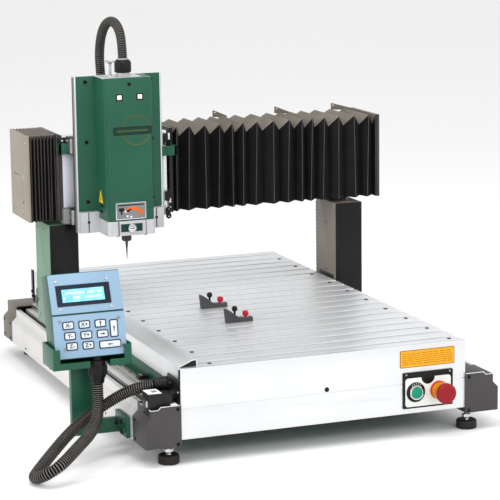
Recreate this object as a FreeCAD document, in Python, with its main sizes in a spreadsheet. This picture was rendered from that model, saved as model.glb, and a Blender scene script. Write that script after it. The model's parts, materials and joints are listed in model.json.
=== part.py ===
"""Gantry CNC router with a T-slot table, a bellows-covered cross beam, a Z head and a hand pendant.

Machine axes while drawing: X to the right from the middle of the table, Y backwards from the face of
the front panel, Z up from the floor.  `publish` moves every sub-part so that the row's origin is the
middle of the machine's footprint.
"""
import FreeCAD
import Part

import math
import os
import re
from types import SimpleNamespace

from FreeCAD import Rotation, Vector

doc = FreeCAD.newDocument("cnc_router")

# ---------------------------------------------------------------- driving dimensions, millimetres
SIZES = {
    # table
    "table_half": 300, "panel_thick": 10, "panel_low": 50, "table_top": 188,
    "plank_count": 10, "plank_pitch": 100, "plank_thick": 22, "slot_pitch": 50,
    "slot_width": 8, "slot_neck": 6, "slot_wide": 14, "slot_deep": 6, "slot_first": 25,
    "cover_sheet": 2, "cover_skirt_low": 152, "cover_height": 14, "cover_inner": 262,
    "cover_knee": 272, "groove_height": 110, "groove_size": 2,
    "member_size": 38, "member_wall": 3, "floor_sheet": 2, "frame_inner": 292,
    "key_hole_z": 117, "inlet_left": -240, "inlet_low": 85,
    # side rails
    "rail_outer": 372, "rail_shoulder": 361, "rail_low": 38, "rail_chamfer_low": 86,
    "rail_chamfer_high": 97, "rail_top": 114, "rail_start": 78, "rail_end": 966,
    "rail_wall": 8, "rail_slot_out": 352, "rail_slot_in": 338, "motor_box_front": 3,
    "lip_high": 119, "lip_low": 113.5, "lip_inner": 341, "lip_outer": 346,
    "box_sheet": 2, "cap_end": 1043, "cap_top": 122, "cap_wall": 3,
    "guide_offset": 318, "guide_width": 15, "guide_high": 12, "guide_start": 112,
    "block_width": 30, "block_long": 46, "block_gap": 0.3, "block_top": 134,
    # drives
    "screw_offset": 331, "screw_height": 70, "screw_radius": 8, "screw_start": 60,
    "motor_size": 55.5, "motor_long": 52, "nut_size": 40, "nut_long": 30, "nut_gap": 0.5,
    "journal_gap": 0.05, "foot_offset": 317, "foot_front": 27, "foot_rear": 996,
    "foot_radius": 20.5, "foot_disc": 18, "stud_radius": 5,
    # gantry
    "leg_inner": 302, "leg_outer": 365.5, "leg_front": 646, "leg_rear": 761, "leg_wall": 5,
    "leg_top": 362, "leg_cover": 3, "beam_front": 726, "beam_rear": 786, "beam_low": 392,
    "beam_top": 538, "beam_half": 405, "beam_wall": 8, "end_sheet": 4, "end_low": 372,
    "end_top": 558, "end_rear": 789, "x_guide_low": 415, "x_guide_high": 515,
    "x_screw_y": 688, "x_screw_z": 465, "small_screw_radius": 6, "bellows_thick": 18,
    "bellows_front": 646, "bellows_flap": 712,
    # carriage and head
    "carriage_low": 366, "carriage_top": 553, "carriage_left": 346, "carriage_right": 84,
    "carriage_plate": 12, "strip_wide": 9, "head_middle": 220, "z_plate_half": 96,
    "z_plate_front": 600, "z_plate_thick": 12, "z_plate_low": 350, "z_plate_top": 684,
    "z_guide_spread": 82, "z_block_half": 22, "z_screw_y": 635, "z_screw_radius": 5,
    "small_motor": 42, "small_motor_long": 48, "head_front": 524, "head_half": 52.4,
    "flange_half": 93, "flange_low": 397, "head_low": 383.5, "head_top": 685,
    "head_sheet": 2.5, "head_corner": 9, "clamp_low": 352, "clamp_front": 520,
    "spindle_y": 562, "spindle_radius": 34, "nose_radius": 21, "shaft_radius": 7,
    "collet_radius": 11, "collet_long": 19, "bit_radius": 3, "bit_tip": 293,
    "gland_shift": 3.4, "head_gland_radius": 18, "head_gland_y": 572, "thumb_shift": -36,
    "thumb_y": 536, "lock_shift": -3, "lock_z": 369,
    # controls
    "plate_left": 163, "plate_right": 272, "plate_low": 60, "plate_high": 133,
    "start_x": 190, "stop_x": 240, "button_z": 93, "start_radius": 11, "ring_radius": 20,
    "stop_radius": 20.5, "stop_reach": 45, "switch_bore": 11.5, "neck_radius": 11.2,
    "stem_radius": 8, "stem_bore": 8.3,
    # pendant
    "pendant_left": 516, "pendant_right": 374, "tray_left": 523, "tray_right": 367,
    "tray_sheet": 4, "tray_low": 186, "tray_top": 228, "tray_front": 87, "tray_rear": 162,
    "post_left": 472, "post_right": 428, "post_front": 146, "arm_low": 38, "arm_high": 66,
    "gland_x": 430, "gland_y": 112, "gland_radius": 17, "hose_radius": 11.5,
    "socket_y": 78, "socket_z": 142, "socket_radius": 17, "head_hose_radius": 10.5,
    # hold-down clamps
    "clamp_left": 84, "clamp_right": 24, "clamp_front_slot": 6, "clamp_rear_slot": 9,
    "clamp_width": 14, "clamp_bar": 11, "clamp_wedge": 30, "knob_radius": 7,
}
v = SimpleNamespace(**SIZES)

sheet = doc.addObject("Spreadsheet::Sheet", "Sizes")
for row, (alias, value) in enumerate(SIZES.items(), start=1):
    sheet.set(f"A{row}", alias.replace("_", " "))
    sheet.set(f"B{row}", str(value))
    sheet.setAlias(f"B{row}", alias)
doc.recompute()

# The footprint's middle, from the outermost pieces: the pendant tray, the beam's right end plate,
# the stop button's face and the rail caps.
BEAM_END = v.beam_half + v.end_sheet
SHIFT = Vector((v.tray_left - BEAM_END) / 2, (v.stop_reach - v.cap_end) / 2, 0)
SIDES = {"left": -1, "right": 1}
X, Y, Z = Vector(1, 0, 0), Vector(0, 1, 0), Vector(0, 0, 1)
TABLE_BACK = v.panel_thick + v.plank_count * v.plank_pitch
published = []


# ---------------------------------------------------------------- making and placing
def fit(obj, prop, size):
    """Sets a property to a number, or binds it to a formula of the sheet's aliases."""
    if isinstance(size, str):
        linked = re.sub(r"[a-z]\w*", lambda found: "Sizes." + found.group(), size)
        obj.setExpression(prop, linked)
    else:
        setattr(obj, prop, size)


def box(name, corner, length, width, height):
    solid = doc.addObject("Part::Box", name)
    solid.Placement.Base = Vector(*corner)
    fit(solid, "Length", length)
    fit(solid, "Width", width)
    fit(solid, "Height", height)
    return solid


def span(name, low, high):
    """A box between two corners."""
    return box(name, low, *(top - bottom for bottom, top in zip(low, high)))


def rod(name, start, axis, radius, length):
    solid = doc.addObject("Part::Cylinder", name)
    solid.Placement = FreeCAD.Placement(Vector(*start), Rotation(Z, axis))
    fit(solid, "Radius", radius)
    fit(solid, "Height", length)
    return solid


def cone(name, start, axis, radius, end_radius, length):
    solid = doc.addObject("Part::Cone", name)
    solid.Placement = FreeCAD.Placement(Vector(*start), Rotation(Z, axis))
    fit(solid, "Radius1", radius)
    fit(solid, "Radius2", end_radius)
    fit(solid, "Height", length)
    return solid


def fuse(name, *solids):
    joined = doc.addObject("Part::MultiFuse", name)
    joined.Shapes = list(solids)
    joined.Refine = True
    return joined


def cut(name, base, *tools):
    result = doc.addObject("Part::Cut", name)
    result.Base = base
    result.Tool = tools[0] if len(tools) == 1 else fuse(name + "_tools", *tools)
    return result


def group(name, *solids):
    """Separate solids that share one node."""
    together = doc.addObject("Part::Compound", name)
    together.Links = list(solids)
    return together


def profile(name, plane, outlines, length, start, reverse=False):
    """A body: closed outlines on an origin plane, padded along that plane's normal."""
    body = doc.addObject("PartDesign::Body", name)
    sketch = body.newObject("Sketcher::SketchObject", name + "_sketch")
    for feature in body.Origin.OriginFeatures:
        if feature.Role == plane:
            sketch.AttachmentSupport = [(feature, "")]
    sketch.MapMode = "FlatFace"
    for outline in outlines:
        for first, second in zip(outline, outline[1:] + outline[:1]):
            sketch.addGeometry(Part.LineSegment(Vector(*first, 0), Vector(*second, 0)), False)
    pad = body.newObject("PartDesign::Pad", name + "_pad")
    pad.Profile = sketch
    pad.Reversed = reverse
    fit(pad, "Length", length)
    body.Placement.Base = Vector(*start)
    return body


def along_y(name, outline, length, start_y):
    """A bar along Y with an X-Z outline; the X-Z plane's own normal points to -Y."""
    return profile(name, "XZ_Plane", [outline], length, (0, start_y, 0), reverse=True)


def along_x(name, outline, length, start_x):
    """A bar along X with a Y-Z outline."""
    return profile(name, "YZ_Plane", [outline], length, (start_x, 0, 0))


def mirrored(outline, side):
    return [(side * across, height) for across, height in outline]


def publish(label, obj):
    obj.Label = label
    obj.Placement.Base = obj.Placement.Base + SHIFT
    published.append(obj)


# ---------------------------------------------------------------- table and base
def slot_line(number):
    """The middle of a T-slot, counted from the front."""
    return v.panel_thick + v.slot_first + number * v.slot_pitch


def front_panel():
    plate = box("panel_plate", (-v.table_half, 0, v.panel_low), "2 * table_half", "panel_thick",
                "table_top - panel_low")
    groove = box("panel_groove", (-v.table_half - 1, -1, v.groove_height), "2 * table_half + 2",
                 "groove_size", "groove_size")
    key = rod("panel_key_hole", (1, -1, v.key_hole_z), Y, 4, 6)
    ports = [rod(f"panel_port_{x}", (x, -1, v.button_z), Y, "switch_bore", "panel_thick + 2")
             for x in (v.start_x, v.stop_x)]
    publish("front_panel", cut("panel", plate, groove, key, *ports))


def rear_panel():
    plate = box("rear_plate", (-v.table_half, TABLE_BACK, v.panel_low), "2 * table_half",
                "panel_thick", "table_top - panel_low")
    left, low, rear = v.inlet_left, v.inlet_low, TABLE_BACK
    inlet_hole = box("rear_inlet_hole", (left, rear - 1, low), 48, 12, 28)
    publish("rear_panel", cut("rear", plate, inlet_hole))
    face = box("inlet_face", (left - 5, rear + v.panel_thick, low - 5), 58, 4, 38)
    core = box("inlet_core", (left + 1, rear - 20, low + 1), 46, 34, 26)
    well = box("inlet_well", (left + 9, rear + 2, low + 5), 30, 14, 18)
    publish("power_inlet", cut("inlet", fuse("inlet_body", face, core), well))


def table_planks():
    half = v.table_half - v.cover_sheet
    low = v.table_top - v.plank_thick
    neck = v.slot_width / 2
    wide = v.slot_wide / 2
    shoulder = v.table_top - v.slot_neck
    floor = shoulder - v.slot_deep
    planks = []
    for number in range(v.plank_count):
        front = v.panel_thick + number * v.plank_pitch
        outline = [(front, low), (front + v.plank_pitch, low), (front + v.plank_pitch, v.table_top)]
        for slot in (2 * number + 1, 2 * number):
            y = slot_line(slot)
            outline += [(y + neck, v.table_top), (y + neck, shoulder), (y + wide, shoulder),
                        (y + wide, floor), (y - wide, floor), (y - wide, shoulder),
                        (y - neck, shoulder), (y - neck, v.table_top)]
        outline.append((front, v.table_top))
        planks.append(along_x(f"plank_{number}", outline, "2 * (table_half - cover_sheet)", -half))
    publish("table_planks", group("planks", *planks))


def side_cover():
    """The raised sheet cover over the table's left edge; its front end is open."""
    out, sheet_t, top = v.table_half, v.cover_sheet, v.table_top + v.cover_height
    knee, inner, eave = v.cover_knee, v.cover_inner, v.table_top + 2
    outline = [(out, v.cover_skirt_low), (out, eave), (knee, top), (inner, top), (inner, v.table_top),
               (inner + sheet_t, v.table_top), (inner + sheet_t, top - sheet_t),
               (knee - 0.5, top - sheet_t), (out - sheet_t, eave - 1.2),
               (out - sheet_t, v.cover_skirt_low)]
    publish("side_cover", along_y("cover", mirrored(outline, SIDES["left"]),
                                  "plank_count * plank_pitch", v.panel_thick))


def base_frame():
    """Side plates, cross members and the floor sheet that carry the planks and the electronics."""
    low = v.panel_low + v.floor_sheet
    high = v.table_top - v.plank_thick
    outer, inner, wall = v.table_half - v.cover_sheet, v.frame_inner, v.member_wall
    plates = [span(f"side_plate_{name}", (min(side * outer, side * inner), v.panel_thick, low),
                   (max(side * outer, side * inner), TABLE_BACK, high)) for name, side in SIDES.items()]
    members = []
    for y in (120, 490, 860):
        tube = box(f"member_{y}", (-inner, y, high - v.member_size), "2 * frame_inner", "member_size",
                   "member_size")
        hollow = box(f"member_hollow_{y}", (-inner - 1, y + wall, high - v.member_size + wall),
                     "2 * frame_inner + 2", "member_size - 2 * member_wall",
                     "member_size - 2 * member_wall")
        members.append(cut(f"member_tube_{y}", tube, hollow))
    floor = box("floor_sheet_plate", (-outer, v.panel_thick, v.panel_low),
                "2 * (table_half - cover_sheet)", "plank_count * plank_pitch", "floor_sheet")
    publish("base_frame", group("frame", *plates, *members, floor))


def control_electronics():
    floor, front, spacer, thick = v.panel_low + v.floor_sheet, 300, 8, 1.6
    board = box("control_board", (-120, front, floor + spacer), 170, 120, thick)
    drivers = [box(f"driver_{x}", (x, front + 20, floor + spacer + thick), 26, 60, 22)
               for x in (-112, -76, -40)]
    supply = box("power_supply", (90, front, floor), 110, 190, 46)
    spacers = [rod(f"spacer_{x}_{y}", (x, y, floor), Z, 3, spacer)
               for x in (-112, 42) for y in (front + 8, front + 112)]
    publish("control_electronics", group("electronics", fuse("board_set", board, *drivers, *spacers),
                                         supply))


# ---------------------------------------------------------------- side rails and their drives
RAIL_OUTLINE = [(v.rail_outer, v.rail_low), (v.table_half, v.rail_low), (v.table_half, v.rail_top),
                (v.rail_shoulder, v.rail_top), (v.rail_shoulder, v.rail_chamfer_high),
                (v.rail_outer, v.rail_chamfer_low)]


def inset(outline, gap):
    """The rail outline moved in by a wall's thickness."""
    middle = (v.rail_outer + v.table_half) / 2
    centre = (v.rail_low + v.rail_top) / 2
    return [(across + math.copysign(gap, middle - across), height + math.copysign(gap, centre - height))
            for across, height in outline]


def y_rails():
    wall, floor, roof = v.rail_wall, v.rail_low + v.rail_wall, v.rail_top - v.rail_wall
    inner = v.table_half + wall
    outline = [(v.rail_outer, v.rail_low), (v.table_half, v.rail_low), (v.table_half, v.rail_top),
               (v.rail_slot_in, v.rail_top), (v.rail_slot_in, roof), (inner, roof), (inner, floor),
               (v.rail_outer - wall, floor), (v.rail_outer - wall, v.rail_chamfer_low - 2),
               (v.rail_shoulder - 6, v.rail_chamfer_high - 4), (v.rail_shoulder - 6, roof),
               (v.rail_slot_out, roof), (v.rail_slot_out, v.rail_top),
               (v.rail_shoulder, v.rail_top), (v.rail_shoulder, v.rail_chamfer_high),
               (v.rail_outer, v.rail_chamfer_low)]
    rails = [along_y(f"rail_{name}", mirrored(outline, side), "rail_end - rail_start", v.rail_start)
             for name, side in SIDES.items()]
    publish("y_rails", group("rails", *rails))
    guides = [box(f"y_guide_{name}", (side * v.guide_offset - v.guide_width / 2, v.guide_start,
                                      v.rail_top), "guide_width", "rail_end - guide_start - 4",
                  "guide_high") for name, side in SIDES.items()]
    publish("y_guide_rails", group("y_guides", *guides))


def motor_covers():
    """Sheet boxes over the side motors; the left one is open on top behind its front lip."""
    length = v.rail_start + v.motor_box_front
    outline = [(v.rail_outer, v.rail_low), (v.table_half, v.rail_low), (v.table_half, v.lip_high),
               (v.lip_inner, v.lip_high), (v.lip_outer, v.lip_low), (v.rail_shoulder, v.lip_low),
               (v.rail_shoulder, v.rail_chamfer_high), (v.rail_outer, v.rail_chamfer_low)]
    covers = []
    for name, side in SIDES.items():
        outer = along_y(f"motor_box_{name}", mirrored(outline, side),
                        "rail_start + motor_box_front", -v.motor_box_front)
        hollow = along_y(f"motor_space_{name}", mirrored(inset(outline, v.box_sheet), side),
                         length, v.box_sheet - v.motor_box_front)
        tools = [hollow]
        if name == "left":
            edge = v.box_sheet
            tools.append(span("motor_opening", (-v.rail_shoulder + edge, 0, v.lip_low - 5.5),
                              (-v.table_half - edge, v.rail_start - 2 * edge, v.lip_high + 3)))
        covers.append(cut(f"motor_cover_shell_{name}", outer, *tools))
    publish("motor_covers", group("motor_cover_pair", *covers))


def y_motors():
    front = 6
    low = v.screw_height - v.motor_size / 2
    motors = []
    for name, side in SIDES.items():
        left = side * v.screw_offset - v.motor_size / 2
        motors.append(box(f"y_motor_{name}", (left, front, low), "motor_size", "motor_long",
                          "motor_size"))
    head = box("y_motor_head", (-358, front, low + v.motor_size), 46, 42, 38)
    motors[0] = fuse("y_motor_left_set", motors[0], head)
    publish("y_motors", group("y_motor_pair", *motors))


def rail_caps():
    caps = []
    outline = [(across, v.cap_top if height == v.rail_top else height) for across, height in RAIL_OUTLINE]
    for name, side in SIDES.items():
        outer = along_y(f"cap_{name}", mirrored(outline, side), "cap_end - rail_end", v.rail_end)
        left = min(side * (v.table_half + v.cap_wall), side * (v.rail_shoulder - v.cap_wall))
        hollow = box(f"cap_space_{name}", (left, v.rail_end - 1, v.rail_low + v.cap_wall),
                     "rail_shoulder - table_half - 2 * cap_wall", "cap_end - rail_end - 2",
                     "cap_top - rail_low - 2 * cap_wall")
        caps.append(cut(f"cap_shell_{name}", outer, hollow))
    publish("rail_caps", group("caps", *caps))


def y_bearing_blocks():
    blocks = []
    for name, side in SIDES.items():
        for y in (82, 944):
            block = box(f"bearing_{name}_{y}", (side * v.screw_offset - 22, y, v.rail_low + v.rail_wall),
                        44, 18, 46)
            bore = rod(f"bearing_bore_{name}_{y}", (side * v.screw_offset, y - 1, v.screw_height), Y,
                       "screw_radius + journal_gap", 20)
            blocks.append(cut(f"bearing_block_{name}_{y}", block, bore))
    publish("y_bearing_blocks", group("bearing_blocks", *blocks))


def y_screws():
    for name, side in SIDES.items():
        x = side * v.screw_offset
        screw = rod(f"y_thread_{name}", (x, v.screw_start, v.screw_height), Y, "screw_radius", 940)
        coupling = rod(f"y_coupling_{name}", (x, v.screw_start, v.screw_height), Y, 12, 19)
        publish(f"y_screw_{name}", fuse(f"y_screw_{name}_set", screw, coupling))


def levelling_feet():
    feet = []
    for side in SIDES.values():
        for y in (v.foot_front, v.foot_rear):
            x = side * v.foot_offset
            disc = rod(f"foot_disc_{x}_{y}", (x, y, 0), Z, "foot_radius", "foot_disc - 3")
            crown = cone(f"foot_crown_{x}_{y}", (x, y, v.foot_disc - 3), Z, "foot_radius",
                         "foot_radius - 3", 3)
            stud = rod(f"foot_stud_{x}_{y}", (x, y, v.foot_disc), Z, "stud_radius",
                       "rail_low - foot_disc")
            nut = doc.addObject("Part::Prism", f"foot_nut_{x}_{y}")
            nut.Polygon = 6
            nut.Circumradius = 9
            nut.Height = 7
            nut.Placement.Base = Vector(x, y, v.foot_disc + 4)
            feet.append(fuse(f"foot_{x}_{y}", disc, crown, stud, nut))
    publish("levelling_feet", group("feet", *feet))


# ---------------------------------------------------------------- switches on the front panel
def switches():
    frame = box("switch_frame", (v.plate_left, -3, v.plate_low), "plate_right - plate_left", 3,
                "plate_high - plate_low")
    holes = [rod(f"switch_hole_{x}", (x, -4, v.button_z), Y, "switch_bore", 5)
             for x in (v.start_x, v.stop_x)]
    publish("switch_plate", cut("switch_plate_cut", frame, *holes))
    ring = rod("start_collar", (v.start_x, -8, v.button_z), Y, "ring_radius", 5)
    ring_neck = rod("start_neck", (v.start_x, -3, v.button_z), Y, "neck_radius", 40)
    ring_bore = rod("start_bore", (v.start_x, -9, v.button_z), Y, "start_radius + 0.3", 5)
    stem_bore = rod("start_stem_bore", (v.start_x, -5, v.button_z), Y, "stem_bore", 20)
    stop = rod("stop_collar", (v.stop_x, -12, v.button_z), Y, 17, 9)
    stop_neck = rod("stop_neck", (v.stop_x, -3, v.button_z), Y, "neck_radius", 40)
    stop_bore = rod("stop_bore", (v.stop_x, -13, v.button_z), Y, "stem_bore", 30)
    publish("switch_bodies", group("switch_pair",
                                   cut("start_body", fuse("start_solid", ring, ring_neck),
                                       ring_bore, stem_bore),
                                   cut("stop_body", fuse("stop_solid", stop, stop_neck), stop_bore)))
    cap = rod("start_cap", (v.start_x, -11, v.button_z), Y, "start_radius", 3.7)
    cap_stem = rod("start_stem", (v.start_x, -8, v.button_z), Y, "stem_radius", 18)
    publish("start_button", fuse("start_button_set", cap, cap_stem))
    face = -v.stop_reach
    head = rod("stop_head", (v.stop_x, face + 3, v.button_z), Y, "stop_radius", 9)
    crown = cone("stop_crown", (v.stop_x, face, v.button_z), Y, "stop_radius - 4", "stop_radius", 3)
    skirt = cone("stop_skirt", (v.stop_x, face + 12, v.button_z), Y, "stop_radius", 13, 12)
    stem = rod("stop_stem", (v.stop_x, face + 12, v.button_z), Y, "stem_radius", 40)
    publish("estop_button", fuse("stop_set", head, crown, skirt, stem))


# ---------------------------------------------------------------- gantry
def gantry_legs():
    covers = []
    for name, side in SIDES.items():
        outer, inner = side * v.leg_outer, side * v.leg_inner
        front = v.leg_front + v.leg_cover
        left, right = min(outer, inner), max(outer, inner)
        wall = v.leg_wall
        shell = span(f"leg_shell_{name}", (left, front, v.block_top), (right, v.leg_rear, v.leg_top))
        hollow = span(f"leg_hollow_{name}", (left + wall, front - 1, v.block_top + wall),
                      (right - wall, v.leg_rear - wall, v.leg_top - wall))
        neck = span(f"leg_neck_{name}", (left, v.beam_front + 2, v.leg_top),
                    (right, v.leg_rear, v.beam_low))
        publish(f"gantry_leg_{name}", fuse(f"leg_{name}", cut(f"leg_frame_{name}", shell, hollow), neck))
        covers.append(span(f"leg_cover_{name}", (left, v.leg_front, v.block_top),
                           (right, front, v.leg_top)))
    publish("leg_covers", group("leg_cover_pair", *covers))


def cross_beam():
    outer = box("beam_outer", (-v.beam_half, v.beam_front, v.beam_low), "2 * beam_half",
                "beam_rear - beam_front", "beam_top - beam_low")
    hollow = box("beam_hollow", (-v.beam_half - 1, v.beam_front + v.beam_wall,
                                 v.beam_low + v.beam_wall), "2 * beam_half + 2",
                 "beam_rear - beam_front - 2 * beam_wall", "beam_top - beam_low - 2 * beam_wall")
    publish("cross_beam", cut("beam", outer, hollow))
    guides = [box(f"x_guide_{z}", (-v.beam_half + 5, v.beam_front - v.guide_high, z - v.guide_width / 2),
                  "2 * beam_half - 60", "guide_high", "guide_width")
              for z in (v.x_guide_low, v.x_guide_high)]
    publish("x_guide_rails", group("x_guides", *guides))


def beam_end_plates():
    plates = []
    for name, side in SIDES.items():
        left = min(side * v.beam_half, side * BEAM_END)
        plate = box(f"end_{name}", (left, v.bellows_front, v.end_low), "end_sheet",
                    "end_rear - bellows_front", "end_top - end_low")
        port = rod(f"end_port_{name}", (left - 1, v.x_screw_y, v.x_screw_z), X,
                   "small_screw_radius + journal_gap", "end_sheet + 2")
        holes = [rod(f"end_hole_{name}_{y}_{z}", (left - 1, y, z), X, 4, 6)
                 for y, z in ((690, 410), (756, 465))]
        plates.append(cut(f"end_plate_{name}", plate, port, *holes))
    publish("beam_end_plates", group("end_plates", *plates))


def guide_block(name, low, high, rail_low, rail_high):
    """A carriage block: a box with the channel that its guide rail runs in."""
    gap = Vector(v.block_gap, v.block_gap, v.block_gap)
    block = span(name, low, high)
    channel = span(name + "_channel", Vector(*rail_low) - gap, Vector(*rail_high) + gap)
    return cut(name + "_cut", block, channel)


def y_carriages():
    pieces = []
    for name, side in SIDES.items():
        middle = side * v.guide_offset
        for y in (v.leg_front + 4, v.leg_rear - v.block_long - 4):
            low = (middle - v.block_width / 2, y, v.rail_top + 4)
            high = (middle + v.block_width / 2, y + v.block_long, v.block_top)
            half = v.guide_width / 2
            pieces.append(guide_block(f"y_block_{name}_{y}", low, high,
                                      (middle - half, y - 1, v.rail_top),
                                      (middle + half, y + v.block_long + 1, v.rail_top + v.guide_high)))
        x = side * v.screw_offset
        nut_y = (v.leg_front + v.leg_rear - v.nut_long) / 2
        nut = box(f"y_nut_{name}", (x - v.nut_size / 2, nut_y, v.screw_height - v.nut_size / 2),
                  "nut_size", "nut_long", "nut_size")
        web_x = side * (v.rail_slot_in + v.rail_slot_out) / 2
        web = box(f"y_web_{name}", (web_x - 4, nut_y, v.screw_height), 8, "nut_long",
                  "block_top - screw_height")
        bore = rod(f"y_nut_bore_{name}", (x, nut_y - 1, v.screw_height), Y, "screw_radius + nut_gap",
                   "nut_long + 2")
        pieces.append(cut(f"y_nut_cut_{name}", fuse(f"y_nut_solid_{name}", nut, web), bore))
    publish("y_carriages", group("y_carriage_set", *pieces))


def x_drive():
    motor_left = v.beam_half - 52
    half = v.small_motor / 2
    publish("x_motor", box("x_motor_box", (motor_left, v.x_screw_y - half, v.x_screw_z - half), 52,
                           "small_motor", "small_motor"))
    publish("x_screw", rod("x_thread", (-BEAM_END, v.x_screw_y, v.x_screw_z), X, "small_screw_radius",
                           BEAM_END + motor_left - 1))


def bellows():
    """Plain solids for the two folding covers: a roof, a front and a short floor flap."""
    reach = {"left": (-v.beam_half, -v.carriage_left), "right": (-v.carriage_right, v.beam_half)}
    thick = v.bellows_thick
    for name, (start, end) in reach.items():
        front, roof = v.bellows_front, v.end_top
        outline = [(front, v.end_low), (v.bellows_flap, v.end_low), (v.bellows_flap, v.end_low + thick),
                   (front + thick, v.end_low + thick), (front + thick, roof - thick),
                   (v.beam_rear, roof - thick), (v.beam_rear, roof), (front, roof)]
        publish(f"bellows_{name}", along_x(f"bellows_{name}_body", outline, end - start, start))


# ---------------------------------------------------------------- X carriage
def z_guide_blocks():
    back = v.bellows_front
    rail_back = v.z_plate_front + v.z_plate_thick
    half = v.guide_width / 2
    blocks = []
    for side in SIDES.values():
        middle = -v.head_middle + side * v.z_guide_spread
        for z in (v.carriage_low, v.carriage_top - 33):
            blocks.append(guide_block(f"z_block_{side}_{z}",
                                      (middle - v.z_block_half, rail_back + 4, z),
                                      (middle + v.z_block_half, back, z + 32),
                                      (middle - half, rail_back, z - 1),
                                      (middle + half, rail_back + v.guide_high, z + 33)))
    return blocks


def x_carriage():
    left, right = -v.carriage_left + v.strip_wide, -v.carriage_right - v.strip_wide - 5
    back = v.bellows_front + v.carriage_plate
    rail_back = v.beam_front - v.guide_high
    rib_back = rail_back - 16
    plate = box("carriage_plate_box", (left, v.bellows_front, v.carriage_low), right - left,
                "carriage_plate", "carriage_top - carriage_low")
    ribs = [span(f"carriage_rib_{z}", (left + 15, back, z - 12), (right - 15, rib_back, z + 12))
            for z in (v.x_guide_low, v.x_guide_high)]
    publish("x_carriage_plate", fuse("carriage_plate_set", plate, *ribs))
    pieces = []
    for z in (v.x_guide_low, v.x_guide_high):
        for x in (left + 20, right - 70):
            pieces.append(guide_block(f"x_block_{x}_{z}", (x, rib_back, z - 15),
                                      (x + 50, v.beam_front - 3, z + 15),
                                      (x - 1, rail_back, z - v.guide_width / 2),
                                      (x + 51, v.beam_front, z + v.guide_width / 2)))
    nut = box("x_nut", (-v.head_middle - 15, back, v.x_screw_z - 18), 30, 48, 36)
    bore = rod("x_nut_bore", (-v.head_middle - 16, v.x_screw_y, v.x_screw_z), X,
               "small_screw_radius + nut_gap", 32)
    pieces.append(cut("x_nut_cut", nut, bore))
    publish("carriage_bearings", group("carriage_bearing_set", *pieces, *z_guide_blocks()))


def bellows_frames():
    """The black end frames that the folding covers are screwed to, one on each side."""
    frames = []
    for name, x in (("left", -v.carriage_left), ("right", -v.carriage_right - v.strip_wide)):
        upright = span(f"frame_upright_{name}", (x, v.bellows_front, v.end_low),
                       (x + v.strip_wide, v.bellows_front + 22, v.end_top))
        roof = span(f"frame_roof_{name}", (x, v.bellows_front, v.beam_top + 6),
                    (x + v.strip_wide, v.beam_rear, v.end_top))
        frames.append(fuse(f"frame_{name}", upright, roof))
    publish("bellows_frames", group("frames", *frames))


def z_drive():
    size = v.small_motor
    bracket = span("z_motor_bracket", (-v.head_middle - 30, v.z_screw_y - size / 2, v.carriage_top),
                   (-v.head_middle + 30, 700, v.carriage_top + 8))
    window = rod("z_bracket_hole", (-v.head_middle, v.z_screw_y, v.carriage_top - 1), Z,
                 "z_screw_radius + nut_gap", 10)
    body = box("z_motor_box", (-v.head_middle - size / 2, v.z_screw_y - size / 2, v.carriage_top + 8),
               "small_motor", "small_motor", "small_motor_long")
    publish("z_motor", fuse("z_motor_set", cut("z_bracket_cut", bracket, window), body))
    publish("z_screw", rod("z_thread", (-v.head_middle, v.z_screw_y, v.carriage_low + 2), Z,
                           "z_screw_radius", v.carriage_top + 7.5 - v.carriage_low - 2))


# ---------------------------------------------------------------- Z head
def z_plate():
    middle, front = -v.head_middle, v.z_plate_front
    plate = box("z_plate_box", (middle - v.z_plate_half, front, v.z_plate_low), "2 * z_plate_half",
                "z_plate_thick", "z_plate_top - z_plate_low")
    nut = span("z_nut", (middle - 18, front + v.z_plate_thick, 470),
               (middle + 18, v.bellows_front - 1, 500))
    bore = rod("z_nut_bore", (middle, v.z_screw_y, 469), Z, "z_screw_radius + nut_gap", 32)
    publish("z_plate", cut("z_plate_cut", fuse("z_plate_solid", plate, nut), bore))
    guides = [box(f"z_guide_{side}", (middle + side * v.z_guide_spread - v.guide_width / 2,
                                      front + v.z_plate_thick, v.z_plate_low + 4), "guide_width",
                  "guide_high", "z_plate_top - z_plate_low - 8") for side in SIDES.values()]
    publish("z_guide_rails", group("z_guides", *guides))


def head_cover():
    """The deep sheet housing with its side flanges, open below and behind."""
    middle = -v.head_middle
    deep = v.z_plate_front - v.head_front
    sheet_t = v.head_sheet
    case = box("head_case", (middle - v.head_half, v.head_front, v.head_low), "2 * head_half", deep,
               "head_top - head_low")
    rounded = doc.addObject("Part::Fillet", "head_case_round")
    rounded.Base = case
    doc.recompute()
    front_edges = [number for number, edge in enumerate(case.Shape.Edges, start=1)
                   if edge.BoundBox.ZLength > deep and abs(edge.BoundBox.YMax - v.head_front) < 1]
    rounded.Edges = [(number, v.head_corner, v.head_corner) for number in front_edges]
    flange = box("head_flange", (middle - v.flange_half, v.z_plate_front - 3, v.flange_low),
                 "2 * flange_half", 3, "head_top - flange_low")
    hollow = box("head_hollow", (middle - v.head_half + sheet_t, v.head_front + sheet_t,
                                 v.head_low - 1), "2 * (head_half - head_sheet)", deep,
                 "head_top - head_low + 1 - head_sheet")
    slots = [span(f"head_vent_{z}", (middle - v.head_half - 1, 556, z),
                  (middle - v.head_half + 4, 580, z + 5)) for z in (397, 410)]
    publish("head_cover", cut("head_shell", fuse("head_solid", rounded, flange), hollow, *slots))


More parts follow.
